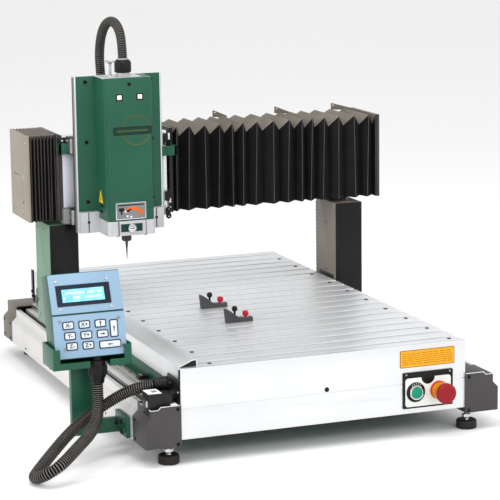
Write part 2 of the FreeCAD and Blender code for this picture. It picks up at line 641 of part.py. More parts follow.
def spindle():
    middle, y = -v.head_middle, v.spindle_y
    low, high = v.clamp_low, v.flange_low
    back = span("clamp_back", (middle - v.flange_half, 584, low), (middle + v.flange_half,
                                                                    v.z_plate_front, high - 1))
    front = span("clamp_front_block", (middle - v.head_half, v.clamp_front, low),
                 (middle + v.head_half, 584, v.head_low - 0.5))
    inner = span("clamp_inner", (middle - v.head_half + 3.5, v.head_front + 4, low),
                 (middle + v.head_half - 3.5, v.z_plate_front, high - 1))
    bore = rod("clamp_bore", (middle, y, low - 1), Z, "nose_radius", 60)
    seats = [span(f"clamp_seat_{x}", (middle + x - 2, 580, v.head_low - 0.5),
                  (middle + x + 2, v.z_plate_front + 1, high)) for x in (-51, 51)]
    splits = [span(f"clamp_split_{x}", (middle + x - 0.8, v.clamp_front - 1, low - 1),
                   (middle + x + 0.8, 540, v.head_low)) for x in (-28, 28)]
    knob_seat = rod("clamp_knob_seat", (middle + v.lock_shift, v.clamp_front - 1, v.lock_z), Y, 4.3,
                    16)
    publish("head_clamp_block", cut("clamp_cut", fuse("clamp_solid", back, front, inner), bore,
                                    *seats, *splits, knob_seat))
    body = rod("spindle_body", (middle, y, 400), Z, "spindle_radius", 200)
    nose = rod("spindle_nose", (middle, y, low + 2), Z, "nose_radius", 46)
    well = rod("spindle_well", (middle, y, low + 1), Z, "shaft_radius + journal_gap", 70)
    publish("spindle_motor", cut("spindle_cut", fuse("spindle_solid", body, nose), well))
    publish("spindle_shaft", rod("shaft", (middle, y, low), Z, "shaft_radius", 68))
    nut = rod("collet_outer", (middle, y, low - v.collet_long), Z, "collet_radius", "collet_long")
    taper = rod("collet_hole", (middle, y, low - v.collet_long - 1), Z, "bit_radius",
                "collet_long + 2")
    publish("collet_nut", cut("collet", nut, taper))
    shank = rod("bit_shank", (middle, y, low - v.collet_long - 5), Z, "bit_radius", "collet_long + 5")
    point = cone("bit_point", (middle, y, v.bit_tip), Z, 0.3, "bit_radius",
                 low - v.collet_long - 5 - v.bit_tip)
    publish("router_bit", fuse("bit", shank, point))
    knob_x = middle + v.lock_shift
    knob = rod("lock_knob_head", (knob_x, v.clamp_front - 11, v.lock_z), Y, 9, 10)
    pin = rod("lock_knob_pin", (knob_x, v.clamp_front - 1, v.lock_z), Y, 4.2, 14)
    publish("lock_knob", fuse("lock_knob_set", knob, pin))


def head_top():
    middle, top = -v.head_middle, v.head_top
    x, y = middle + v.gland_shift, v.head_gland_y
    seat = rod("gland_seat", (x, y, top), Z, 13, 7)
    nut = rod("gland_nut", (x, y, top + 7), Z, "head_gland_radius", 24)
    lip = cone("gland_lip", (x, y, top + 31), Z, "head_gland_radius", "head_gland_radius - 4", 5)
    publish("head_gland", fuse("head_gland_set", seat, nut, lip))
    x, y = middle + v.thumb_shift, v.thumb_y
    stem = rod("screw_stem", (x, y, top + 0.3), Z, 3.2, 34)
    disc = rod("screw_disc", (x, y, top + 34), Z, 10.5, 3)
    publish("thumbscrew", fuse("thumbscrew_set", stem, disc))


# ---------------------------------------------------------------- pendant and its stand
FACE_LOW, FACE_KNEE, FACE_TOP = (95, 205), (111, 288), (141, 362)
PANEL_THICK = 3


def facet_plate(name, low, high):
    """A plate on one slanted facet of the pendant's front, a little short of its ends."""
    start, end = Vector(0, *low), Vector(0, *high)
    up = (end - start).normalize()
    out = Vector(0, -up.z, up.y) * PANEL_THICK
    start, end = start + up * 1.5, end - up * 1.5
    outline = [(p.y, p.z) for p in (start, end, end + out, start + out)]
    return along_x(name, outline, "pendant_left - pendant_right", -v.pendant_left)


def pendant():
    case = along_x("pendant_solid", [FACE_LOW, FACE_KNEE, FACE_TOP, (180, 352), (150, 215)],
                   "pendant_left - pendant_right", -v.pendant_left)
    socket = rod("pendant_port", (-v.gland_x, v.gland_y, 195), Z, 11, 28)
    publish("pendant_case", cut("pendant_cut", case, socket))
    publish("pendant_panels", group("pendant_panel_pair",
                                    facet_plate("keypad_panel", FACE_LOW, FACE_KNEE),
                                    facet_plate("display_panel", FACE_KNEE, FACE_TOP)))
    neck = rod("pendant_gland_neck", (-v.gland_x, v.gland_y, 160), Z, 11, 60)
    nut = rod("pendant_gland_nut", (-v.gland_x, v.gland_y, 168), Z, "gland_radius", 28)
    publish("pendant_gland", fuse("pendant_gland_set", neck, nut))


def holster():
    t, low = v.tray_sheet, v.tray_low
    left, right, front, rear = -v.tray_left, -v.tray_right, v.tray_front, v.tray_rear
    floor = span("tray_floor", (left, front, low), (right, rear, low + t))
    back = span("tray_back", (left, rear - t, low), (right, rear, v.tray_top))
    cheeks = [span(f"tray_cheek_{x}", (x, front, low), (x + t, rear, v.tray_top))
              for x in (left, right - t)]
    band = span("tray_band", (left, front, low), (right, front + t, low + 13))
    lips = [span(f"tray_lip_{x}", (x, front, low), (x + 14, front + t, v.tray_top - 2))
            for x in (left, right - 14)]
    notch = span("tray_notch", (-v.gland_x - 20, front - 1, low - 1), (-v.gland_x + 20, 134, low + 14))
    publish("holster_tray", cut("tray", fuse("tray_solid", floor, back, *cheeks, band, *lips), notch))
    post = span("stand_post", (-v.post_left, v.post_front, v.arm_low), (-v.post_right, rear, low))
    arm = span("stand_arm", (-v.post_right, v.post_front, v.arm_low), (-v.rail_outer, rear, v.arm_high))
    foot = span("stand_foot", (-v.rail_outer - 8, 92, v.arm_low), (-v.rail_outer, rear, v.arm_high + 14))
    bolts = [rod(f"stand_bolt_{y}_{z}", (-v.rail_outer - 13, y, z), X, 5.5, 5)
             for y, z in ((104, 70), (104, 50), (134, 60))]
    publish("pendant_stand", fuse("stand", post, arm, foot, *bolts))


# ---------------------------------------------------------------- corrugated hoses
PENDANT_ROUTE = [
    (-430, 112, 158), (-431, 106, 124), (-441, 78, 90), (-467, 38, 72), (-505, -6, 62),
    (-548, -45, 44), (-571, -46, 31), (-588, -31, 19), (-593, -6, 12), (-583, 18, 12),
    (-544, 52, 34), (-502, 86, 58), (-458, 112, 80), (-416, 120, 101), (-382, 110, 122),
    (-354, 94, 136), (-328, 78, 142),
]
HEAD_ROUTE = [
    (-216.6, 572, 721.7), (-217, 573, 752), (-219, 583, 783), (-226, 607, 800), (-233, 636, 790),
    (-236, 658, 764), (-236, 672, 732), (-234, 680, 700), (-230, 684, 668),
]


def hose(label, route, radius):
    """A tube along straight runs joined by tangent arcs; each arc is as large as its runs allow."""
    points = [Vector(*point) for point in route]
    edges, last = [], points[0]
    for before, here, after in zip(points, points[1:], points[2:]):
        back, on = before - here, after - here
        reach = 0.45 * min(back.Length, on.Length)
        half_turn = (math.pi - back.getAngle(on)) / 2
        bend = reach / math.tan(half_turn)
        print(f"{label}: bend radius {bend:.0f} mm")
        start = here + back.normalize() * reach
        end = here + on.normalize() * reach
        inward = (back + on).normalize()
        middle = here + inward * (bend / math.cos(half_turn) - bend)
        edges += [Part.LineSegment(last, start).toShape(), Part.Arc(start, middle, end).toShape()]
        last = end
    edges.append(Part.LineSegment(last, points[-1]).toShape())
    path = Part.Wire(edges)
    section = Part.Wire(Part.Circle(points[0], points[1] - points[0], radius).toShape())
    tube = path.makePipeShell([section], True, False)
    expected = math.pi * radius ** 2 * path.Length
    assert abs(tube.Volume / expected - 1) < 0.01, f"{label}: volume {tube.Volume:.0f}, {expected:.0f}"
    print(f"{label}: length {path.Length:.0f} mm")
    feature = doc.addObject("Part::Feature", label + "_tube")
    feature.Shape = tube
    publish(label, feature)


def hoses():
    socket = rod("socket_body", (-v.table_half, v.socket_y, v.socket_z), -X, "socket_radius", 18)
    nose = rod("socket_nose", (-v.table_half - 18, v.socket_y, v.socket_z), -X, 14, 10)
    publish("hose_socket", fuse("socket_set", socket, nose))
    low = v.carriage_top + 8
    x, y, end = HEAD_ROUTE[-1]
    elbow = span("fitting_foot", (x - 18, y - 12, low), (x + 18, y + 14, low + 6))
    post = rod("fitting_post", (x, y, low), Z, 12, end - low)
    publish("carriage_fitting", fuse("fitting", elbow, post))
    hose("pendant_hose", PENDANT_ROUTE, v.hose_radius)
    hose("head_hose", HEAD_ROUTE, v.head_hose_radius)


# ---------------------------------------------------------------- hold-down clamps
def clamps():
    for name, slot in (("front", v.clamp_front_slot), ("rear", v.clamp_rear_slot)):
        y, low = slot_line(slot), v.table_top
        wide = v.clamp_width / 2
        outline = [(-v.clamp_left, low), (-v.clamp_right, low), (-v.clamp_right, low + v.clamp_bar),
                   (-v.clamp_left + 30, low + v.clamp_bar), (-v.clamp_left + 6, low + v.clamp_wedge),
                   (-v.clamp_left, low + v.clamp_wedge)]
        bar = along_y(f"clamp_bar_{name}", outline, "clamp_width", y - wide)
        foot = box(f"clamp_foot_{name}", (-v.clamp_left + 20, y - 6.7, low - 10.5), 30, 13.4, 4)
        stem = rod(f"clamp_stem_{name}", (-v.clamp_left + 35, y, low - 7), Z, 3.7, 8)
        ball_stem = rod(f"clamp_ball_stem_{name}", (-v.clamp_left + 22, y, low + 8), Z, 2.5, 16)
        ball = rod(f"clamp_ball_{name}", (-v.clamp_left + 22, y, low + 24), Z, "knob_radius - 1", 9)
        seat = rod(f"clamp_seat_{name}", (-v.clamp_right - 14, y, low + 4), Z, 3.3, 12)
        publish(f"clamp_{name}", cut(f"clamp_cut_{name}", fuse(f"clamp_solid_{name}", bar, foot, stem,
                                                               ball_stem, ball), seat))
        pin = rod(f"clamp_pin_{name}", (-v.clamp_right - 14, y, low + 4.3), Z, 3.2, 7)
        neck = rod(f"clamp_neck_{name}", (-v.clamp_right - 14, y, low + v.clamp_bar + 0.3), Z, 4, 4)
        knob = rod(f"clamp_knob_top_{name}", (-v.clamp_right - 14, y, low + v.clamp_bar + 4), Z,
                   "knob_radius", 10)
        publish(f"clamp_knob_{name}", fuse(f"clamp_knob_set_{name}", pin, neck, knob))


# ---------------------------------------------------------------- the whole machine
def check(obj):
    if "Invalid" in obj.State or "Error" in obj.State:
        raise RuntimeError(f"{obj.Label} failed: {obj.State}")


for make in (front_panel, rear_panel, table_planks, side_cover, base_frame, control_electronics,
             y_rails, motor_covers, y_motors, rail_caps, y_bearing_blocks, y_screws, levelling_feet,
             switches, gantry_legs, cross_beam, beam_end_plates, y_carriages, x_drive, bellows,
             x_carriage, bellows_frames, z_drive, z_plate, head_cover, spindle,
             head_top, pendant, holster, hoses, clamps):
    make()
doc.recompute()

for obj in doc.Objects:
    check(obj)
for part in published:
    if part.Shape.isNull() or not part.Shape.isValid():
        raise RuntimeError(f"{part.Label} has no valid shape")

os.makedirs("parts", exist_ok=True)
for part in published:
    part.Shape.exportStep(f"parts/{part.Label}.step")
whole = Part.makeCompound([part.Shape for part in published])
print(f"{len(published)} sub-parts, box {whole.BoundBox}")
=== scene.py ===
"""Looks of the gantry CNC router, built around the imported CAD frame.

Lengths are machine millimetres, as in the part's own drawing: X to the right from the middle of the
table, Y backwards from the front panel's face, Z up from the floor.  `at` turns them into the row
frame's metres.
"""
import json
import math
import random

import bmesh
import bpy
from mathutils import Matrix, Vector


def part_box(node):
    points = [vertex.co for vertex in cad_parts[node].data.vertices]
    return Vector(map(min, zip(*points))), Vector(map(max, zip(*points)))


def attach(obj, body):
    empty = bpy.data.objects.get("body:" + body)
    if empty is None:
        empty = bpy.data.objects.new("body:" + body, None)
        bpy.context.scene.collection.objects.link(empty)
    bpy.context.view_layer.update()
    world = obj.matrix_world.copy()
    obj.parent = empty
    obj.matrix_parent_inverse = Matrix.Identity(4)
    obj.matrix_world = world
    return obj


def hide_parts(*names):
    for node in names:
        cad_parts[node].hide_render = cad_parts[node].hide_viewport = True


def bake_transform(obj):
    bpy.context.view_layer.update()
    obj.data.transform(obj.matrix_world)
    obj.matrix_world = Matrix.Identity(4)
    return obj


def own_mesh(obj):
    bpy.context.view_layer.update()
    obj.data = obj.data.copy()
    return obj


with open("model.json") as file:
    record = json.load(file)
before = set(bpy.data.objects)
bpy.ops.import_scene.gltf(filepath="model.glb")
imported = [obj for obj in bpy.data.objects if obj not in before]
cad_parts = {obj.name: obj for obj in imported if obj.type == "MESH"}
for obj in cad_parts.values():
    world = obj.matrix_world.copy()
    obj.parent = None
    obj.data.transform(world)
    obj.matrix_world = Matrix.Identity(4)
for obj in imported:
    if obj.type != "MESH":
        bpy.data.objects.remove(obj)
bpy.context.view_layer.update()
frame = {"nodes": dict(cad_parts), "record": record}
RECORD = frame["record"]
BODY_OF = {node: body for body, members in RECORD["behaviour"]["bodies"].items() for node in members}
SLOT_OF = {part["node"]: part["material_slot"] for part in RECORD["subparts"]}
X, Y, Z = Vector((1, 0, 0)), Vector((0, 1, 0)), Vector((0, 0, 1))
SIDES = (-1, 1)
random.seed(7)

_low, _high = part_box("front_panel")
ORIGIN = Vector(((_low.x + _high.x) / 2, _low.y, 0))


def at(x, y, z):
    return ORIGIN + Vector((x, y, z)) / 1000


def corners(node):
    """A CAD node's lowest and highest corner, in machine millimetres to the nearest tenth."""
    return [tuple(round(value, 1) for value in (corner - ORIGIN) * 1000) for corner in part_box(node)]


def middle_of(node):
    """The middle of a CAD node's box, in machine millimetres."""
    return tuple((low + high) / 2 for low, high in zip(*corners(node)))


GUIDE_X = 318
PLANK_WIDTH = 100
HEAD_X = middle_of("spindle_motor")[0]
HEAD_FRONT = corners("head_cover")[0][1]
HEAD_LOW = corners("head_clamp_block")[0][2]


# ---- camera and lights
VIEW_AZIMUTH, VIEW_ELEVATION, VIEW_ROLL = map(math.radians, (20.22, 10.28, -0.89))
VIEW_PLACE = (-1.5407, -4.2358, 1.1774)
VIEW_LENS, VIEW_SENSOR = 155.0, 36.0
VIEW_SHIFT = (0.066, -0.0456)
VIEW_DEPTH = 60


def added(name, data):
    """A new object in the scene."""
    thing = bpy.data.objects.new(name, data)
    bpy.context.scene.collection.objects.link(thing)
    return thing


def add_camera():
    forward = Vector((math.sin(VIEW_AZIMUTH) * math.cos(VIEW_ELEVATION),
                      math.cos(VIEW_AZIMUTH) * math.cos(VIEW_ELEVATION), -math.sin(VIEW_ELEVATION)))
    level = forward.cross(Z).normalized()
    over = level.cross(forward)
    right = level * math.cos(VIEW_ROLL) + over * math.sin(VIEW_ROLL)
    up = right.cross(forward)
    data = bpy.data.cameras.new("view")
    data.lens = VIEW_LENS
    data.sensor_width = VIEW_SENSOR
    data.shift_x, data.shift_y = VIEW_SHIFT
    data.clip_end = VIEW_DEPTH
    camera = added("view", data)
    camera.matrix_world = Matrix((right, up, -forward)).transposed().to_4x4()
    camera.matrix_world.translation = VIEW_PLACE
    bpy.context.scene.camera = camera


def add_light(name, place, target, size, power):
    data = bpy.data.lights.new(name, "AREA")
    data.shape = "RECTANGLE"
    data.size, data.size_y = size
    data.energy = power
    lamp = added(name, data)
    lamp.location = place
    lamp.rotation_euler = (Vector(target) - Vector(place)).to_track_quat("-Z", "Y").to_euler()


def add_studio():
    world = bpy.data.worlds.new("studio")
    bpy.context.scene.world = world
    world.use_nodes = True
    background = world.node_tree.nodes["Background"]
    background.inputs["Color"].default_value = (1.0, 1.0, 1.0, 1)
    background.inputs["Strength"].default_value = 0.95
    bpy.context.scene.view_settings.view_transform = "Standard"
    add_light("top_box", (-0.6, -0.9, 3.2), (0, 0, 0.2), (2.2, 1.6), 42)
    add_light("left_box", (-3.2, -1.4, 1.8), (0, 0, 0.3), (0.7, 1.6), 40)
    add_light("front_box", (0.4, -4.2, 2.4), (0, 0, 0.3), (2.2, 0.7), 34)
    add_light("right_strip", (2.6, -2.2, 1.6), (0, 0, 0.3), (0.4, 1.6), 16)


# ---- materials
def noise(tree, place, scale, detail=3.0):
    node = tree.nodes.new("ShaderNodeTexNoise")
    node.inputs["Scale"].default_value = scale
    node.inputs["Detail"].default_value = detail
    tree.links.new(place, node.inputs["Vector"])
    return node.outputs["Fac"]


def ranged(tree, value, low, high):
    node = tree.nodes.new("ShaderNodeMapRange")
    node.inputs["From Min"].default_value = 0.3
    node.inputs["From Max"].default_value = 0.7
    node.inputs["To Min"].default_value = low
    node.inputs["To Max"].default_value = high
    tree.links.new(value, node.inputs["Value"])
    return node.outputs["Result"]


def blended(tree, factor, first, second):
    node = tree.nodes.new("ShaderNodeMix")
    node.data_type = "RGBA"
    node.inputs["A"].default_value = (*first, 1)
    node.inputs["B"].default_value = (*second, 1)
    tree.links.new(factor, node.inputs["Factor"])
    return node.outputs["Result"]


MAT = {}
ROUGH_VARY = 0.07
BUMP_HEIGHT = 0.0004


def surface(name, color, rough, metal=0.0, vary=0.08, patch=9.0, fine=600.0, stretch=(1, 1, 1),
            bump=0.05, sheen=0.0, shine=0.5):
    """A finish with broad colour patches, a fine grain that can be stretched along an axis, and bump."""
    material = bpy.data.materials.new(name)
    material.use_nodes = True
    tree = material.node_tree
    shader = tree.nodes["Principled BSDF"]
    coords = tree.nodes.new("ShaderNodeTexCoord").outputs["Object"]
    scaled = tree.nodes.new("ShaderNodeMapping")
    scaled.inputs["Scale"].default_value = stretch
    tree.links.new(coords, scaled.inputs["Vector"])
    grain = noise(tree, scaled.outputs["Vector"], fine, 4.0)
    patches = noise(tree, coords, patch)
    dark = tuple(part * (1 - vary) for part in color)
    light = tuple(min(1.0, part * (1 + vary)) for part in color)
    tone = tree.nodes.new("ShaderNodeMath")
    tone.operation = "ADD"
    tone.use_clamp = True
    tree.links.new(ranged(tree, patches, -0.1, 0.7), tone.inputs[0])
    tree.links.new(ranged(tree, grain, -0.1, 0.4), tone.inputs[1])
    tree.links.new(blended(tree, tone.outputs["Value"], dark, light), shader.inputs["Base Color"])
    tree.links.new(ranged(tree, grain, rough - ROUGH_VARY, rough + ROUGH_VARY), shader.inputs["Roughness"])
    relief = tree.nodes.new("ShaderNodeBump")
    relief.inputs["Strength"].default_value = bump
    relief.inputs["Distance"].default_value = BUMP_HEIGHT
    tree.links.new(grain, relief.inputs["Height"])
    tree.links.new(relief.outputs["Normal"], shader.inputs["Normal"])
    shader.inputs["Metallic"].default_value = metal
    shader.inputs["Specular IOR Level"].default_value = shine
    shader.inputs["Sheen Weight"].default_value = sheen
    MAT[name] = material


def painted(name, color, rough=0.38, vary=0.1, bump=0.1, shine=0.22):
    surface(name, color, rough, 0.0, vary, 9, 900, bump=bump, shine=shine)


def plastic(name, color, rough=0.4, vary=0.15, bump=0.12, shine=0.22):
    surface(name, color, rough, 0.0, vary, 30, 1300, bump=bump, shine=shine)


def metal(name, color, rough, grain=(1, 1, 1), amount=0.9, vary=0.07, bump=0.1, patch=12):
    surface(name, color, rough, amount, vary, patch, 600, grain, bump)


ALONG_X, ALONG_Y, ALONG_Z = (0.02, 1, 1), (1, 0.02, 1), (1, 1, 0.02)

# The record's slots, which paint the CAD nodes, and the other finishes of the pieces.
metal("bare_aluminium", (0.7, 0.71, 0.72), 0.36, ALONG_X, 0.75, 0.05, 0.12, 5)
metal("plank_aluminium", (0.71, 0.72, 0.735), 0.4, ALONG_X, 0.6, 0.07, 0.14, 4)
metal("rail_aluminium", (0.7, 0.69, 0.68), 0.42, ALONG_Y, 0.65, 0.08, 0.12, 6)
# Besides its own use, this bright tone paints the highlight strips on the plank slots and the motor covers.
metal("column_aluminium", (0.82, 0.84, 0.87), 0.45, ALONG_Z, 0.3, 0.03, 0.08, 6)
metal("side_column_aluminium", (0.58, 0.6, 0.66), 0.5, ALONG_Z, 0.1, 0.04, 0.08, 6)
metal("clamp_block_aluminium", (0.49, 0.495, 0.51), 0.4, ALONG_Z, 0.3, 0.06, 0.12, 20)
painted("green_paint", (0.014, 0.084, 0.05), 0.34)
painted("leg_green_paint", (0.13, 0.24, 0.16))
painted("leg_grey_paint", (0.27, 0.235, 0.19), 0.42)
painted("leg_inner_paint", (0.19, 0.165, 0.135), 0.36)
painted("cap_paint", (0.12, 0.1, 0.082), 0.42)
painted("dark_grey_paint", (0.057, 0.053, 0.053), 0.46, 0.12, 0.3)
painted("black_paint", (0.004, 0.004, 0.0045), 0.26, 0.3)
painted("brown_black_paint", (0.05, 0.043, 0.041), 0.4, 0.15)
metal("guide_steel", (0.42, 0.41, 0.4), 0.3, ALONG_Y)
plastic("motor_black", (0.012, 0.012, 0.013), 0.38, 0.25, 0.2)
metal("spindle_steel", (0.5, 0.5, 0.52), 0.35, ALONG_Z)
metal("chrome", (0.62, 0.62, 0.64), 0.12, amount=1.0, vary=0.05, bump=0.03, patch=40)
metal("tool_steel", (0.06, 0.056, 0.055), 0.3, ALONG_Z, 0.7, 0.25, 0.2, 60)
plastic("clamp_black", (0.05, 0.05, 0.053), 0.4, 0.2, 0.2)
plastic("black_plastic", (0.006, 0.006, 0.0065), 0.36, 0.3, 0.2)
# The hose's crests are painted lighter as painted highlights on the ribs, and its grooves near-black as
# painted shade between them.
plastic("hose_black", (0.085, 0.074, 0.066), 0.22, 0.3, 0.12, 0.7)
plastic("hose_groove_shade", (0.002, 0.002, 0.002), 0.8, 0.3, 0.1, 0.02)
plastic("foot_rubber", (0.016, 0.014, 0.013), 0.55, 0.25, 0.4)
surface("bellows_fabric", (0.0055, 0.005, 0.0058), 0.5, 0.0, 0.35, 25, 1600, bump=0.35, shine=0.12,
        sheen=0.02)
# The roof's brown-grey is the black fabric painted lighter, painted light from above; the fins on top take
# it too.
surface("bellows_roof_painted_light", (0.155, 0.137, 0.112), 0.6, 0.0, 0.16, 18, 1600, bump=0.35, shine=0.2,
        sheen=0.05)
# Thin strips along the ridges, painted highlights where light catches the pleat edges: lighter on the right
# cover, darker on the left.
surface("bellows_ridge_highlight", (0.066, 0.058, 0.052), 0.5, 0.0, 0.3, 30, 1600, bump=0.3, shine=0.2)
surface("bellows_dark_ridge_highlight", (0.03, 0.026, 0.024), 0.5, 0.0, 0.3, 30, 1600, bump=0.3, shine=0.2)
plastic("stop_red", (0.25, 0.006, 0.012), 0.34, 0.1, 0.06)
plastic("stop_base_red", (0.5, 0.03, 0.015), 0.35, 0.1, 0.06)
plastic("stop_yellow", (0.66, 0.3, 0.01), 0.35, 0.06, 0.06)
plastic("clamp_red", (0.42, 0.012, 0.035), 0.32, 0.08, 0.06)
plastic("start_green", (0.0, 0.25, 0.15), 0.3, 0.08, 0.05)
painted("pendant_blue", (0.235, 0.355, 0.48), 0.42, 0.05, 0.15)
plastic("circuit_green", (0.02, 0.16, 0.07))
plastic("label_orange", (0.74, 0.34, 0.012), 0.45, 0.05, 0.05)
plastic("label_brown", (0.3, 0.11, 0.01), 0.5, 0.05, 0.05)
plastic("label_white", (0.8, 0.8, 0.79), 0.45, 0.03, 0.05)
plastic("key_white", (0.58, 0.62, 0.66), 0.4, 0.04, 0.05)
plastic("cream_plate", (0.72, 0.75, 0.7), 0.35, 0.04, 0.05)
plastic("ink_blue", (0.006, 0.01, 0.024), 0.4, 0.15, 0.05)
plastic("sign_orange", (0.66, 0.13, 0.02), 0.45, 0.2, 0.05)
plastic("sign_yellow", (0.75, 0.42, 0.01), 0.4, 0.05, 0.05)
plastic("sign_grey", (0.19, 0.2, 0.205), 0.4, 0.1, 0.05)
plastic("window_green", (0.004, 0.035, 0.022), 0.3, 0.15, 0.05)
plastic("emblem_dark", (0.004, 0.014, 0.01), 0.4, 0.2, 0.05)
plastic("emblem_gold", (0.065, 0.085, 0.022), 0.4, 0.3, 0.05)


def lit_panel():
    """The display's backlight: pale cyan in uneven patches."""
    material = bpy.data.materials.new("display_light")
    material.use_nodes = True
    tree = material.node_tree
    shader = tree.nodes["Principled BSDF"]
    coords = tree.nodes.new("ShaderNodeTexCoord").outputs["Object"]
    patches = noise(tree, coords, 45.0)
    color = blended(tree, ranged(tree, patches, 0.0, 1.0), (0.06, 0.36, 0.62), (0.2, 0.6, 0.76))
    tree.links.new(color, shader.inputs["Base Color"])
    tree.links.new(color, shader.inputs["Emission Color"])
    shader.inputs["Emission Strength"].default_value = 0.16
    shader.inputs["Roughness"].default_value = 0.2
    MAT["display"] = material


lit_panel()


# ---- making pieces
def upright(axis):
    """An axis's direction and two directions across it."""
    axis = Vector(axis).normalized()
    across = axis.cross(Z if abs(axis.z) < 0.9 else X).normalized()
    return axis, across, axis.cross(across)


def rounded(width, height, radius, steps=4):
    """A rectangle's outline round the origin, with round corners."""
    outline = []
    for turn, (sx, sy) in enumerate(((1, 1), (-1, 1), (-1, -1), (1, -1))):
        for step in range(steps + 1):
            angle = math.pi / 2 * (turn + step / steps)
            outline.append((sx * (width / 2 - radius) + radius * math.cos(angle),
                            sy * (height / 2 - radius) + radius * math.sin(angle)))
    return outline


def arc(radius, start, end, steps):
    """Points along an arc round the origin, between two angles in degrees."""
    angles = [math.radians(start + (end - start) * n / steps) for n in range(steps + 1)]
    return [(radius * math.cos(angle), radius * math.sin(angle)) for angle in angles]


def disc(radius, sides):
    return arc(radius, 0, 360, sides)[:-1]


def round_off(mesh, edges, width, **limits):
    bmesh.ops.bevel(mesh, geom=edges, offset=width, segments=2, profile=0.6, affect="EDGES", **limits)


class Mould:
    """Collects the faces of one piece."""

    def __init__(self):
        self.mesh = bmesh.new()

    def take(self, part, slot=0):
        for face in part.faces:
            face.material_index = slot
        data = bpy.data.meshes.new("part")
        part.to_mesh(data)
        part.free()
        self.mesh.from_mesh(data)
        bpy.data.meshes.remove(data)
        return self

    def box(self, low, high, bevel=0.5, slot=0, turn=None):
        part = bmesh.new()
        size = [top - bottom for bottom, top in zip(low, high)]
        bmesh.ops.create_cube(part, size=1)
        bmesh.ops.scale(part, vec=size, verts=part.verts)
        if bevel:
            round_off(part, part.edges[:], min(bevel, min(size) * 0.45))
        if turn is not None:
            bmesh.ops.rotate(part, matrix=turn, verts=part.verts)
        bmesh.ops.translate(part, vec=[(top + bottom) / 2 for bottom, top in zip(low, high)],
                            verts=part.verts)
        return self.take(part, slot)

    def lathe(self, base, axis, outline, sides=32, slot=0):
        """A turned shape: outline points are (radius, height along the axis)."""
        axis, across, over = upright(axis)
        part = bmesh.new()
        rings = []
        for radius, height in outline:
            middle = Vector(base) + axis * height
            if radius < 1e-6:
                rings.append([part.verts.new(middle)])
                continue
            rings.append([part.verts.new(middle + (across * math.cos(math.tau * n / sides)
                                                   + over * math.sin(math.tau * n / sides)) * radius)
                          for n in range(sides)])
        for lower, upper in zip(rings, rings[1:]):
            for n in range(sides):
                after = (n + 1) % sides
                corners = [lower[n % len(lower)], lower[after % len(lower)],
                           upper[after % len(upper)], upper[n % len(upper)]]
                face = list(dict.fromkeys(corners))
                if len(face) > 2:
                    part.faces.new(face)
        for ring, flip in ((rings[0], True), (rings[-1], False)):
            if len(ring) > 1:
                part.faces.new(ring[::-1] if flip else ring)
        bmesh.ops.recalc_face_normals(part, faces=part.faces)
        return self.take(part, slot)

    def slab(self, outline, place, across, up, thick, bevel=0.3, slot=0):
        """A flat plate of an outline in the plane of across and up, raised by its thickness."""
        across, up = Vector(across).normalized(), Vector(up).normalized()
        out = across.cross(up)
        part = bmesh.new()
        base = [part.verts.new(Vector(place) + across * a + up * b) for a, b in outline]
        top = [part.verts.new(vert.co + out * thick) for vert in base]
        part.faces.new(base[::-1])
        lid = part.faces.new(top)
        for n in range(len(base)):
            after = (n + 1) % len(base)
            part.faces.new((base[n], base[after], top[after], top[n]))
        if bevel:
            round_off(part, lid.edges[:], min(bevel, abs(thick) * 0.45))
        return self.take(part, slot)

    def screw(self, point, axis, radius, high=None, slot=0, socket=1):
        """A pan head with a round-bottomed drive recess."""
        high = radius * 0.55 if high is None else high
        self.lathe(point, axis, [(radius, 0), (radius, high * 0.6), (radius * 0.86, high),
                                 (radius * 0.5, high)], 16, slot)
        return self.lathe(point, axis, [(radius * 0.5, high), (radius * 0.45, high * 0.35),
                                        (0, high * 0.3)], 6, socket)

    def post(self, middle, axis, angle, radius, half, span, bevel=0.3, slot=0):
        """A small square post on a circle round a Y or Z axis, between the two heights in span."""
        spots = (middle[0] + radius * math.cos(angle), middle[1] + radius * math.sin(angle))
        ends = []
        for offset, height in zip((-half, half), span):
            end = [spot + offset for spot in spots]
            end.insert(2 if axis is Z else 1, height)
            ends.append(end)
        return self.box(*ends, bevel, slot)

    def posts(self, count, middle, axis, radius, half, span, bevel=0.3):
        """A ring of posts, such as the ribs of a grip."""
        for number in range(count):
            self.post(middle, axis, math.tau * number / count, radius, half, span, bevel)

    def done(self, name, body, *materials, finish=None, replaces=()):
        scale = Matrix.Translation(ORIGIN) @ Matrix.Scale(0.001, 4)
        bmesh.ops.transform(self.mesh, matrix=scale, verts=self.mesh.verts)
        return place_mesh(self.mesh, name, body, materials, replaces)


def place_mesh(mesh, name, body, materials, replaces=(), sharp=38):
    """Makes a piece of a mesh; edges that turn by more than the sharp angle stay creased."""
    for edge in mesh.edges:
        edge.smooth = len(edge.link_faces) == 2 and edge.calc_face_angle(0) < math.radians(sharp)
    for face in mesh.faces:
        face.smooth = True
    data = bpy.data.meshes.new(name)
    mesh.to_mesh(data)
    mesh.free()
    for material in materials:
        data.materials.append(MAT[material])
    piece = added(name, data)
    if body:
        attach(piece, body)
    if replaces:
        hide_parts(*replaces)
    return piece


FINISHED_IN = {"table_planks": "plank_aluminium", "side_cover": "bare_aluminium",
               "y_rails": "rail_aluminium", "rail_caps": "cap_paint",
               "gantry_leg_left": "leg_green_paint", "gantry_leg_right": "leg_inner_paint",
               "x_carriage_plate": "bare_aluminium", "z_plate": "bare_aluminium"}


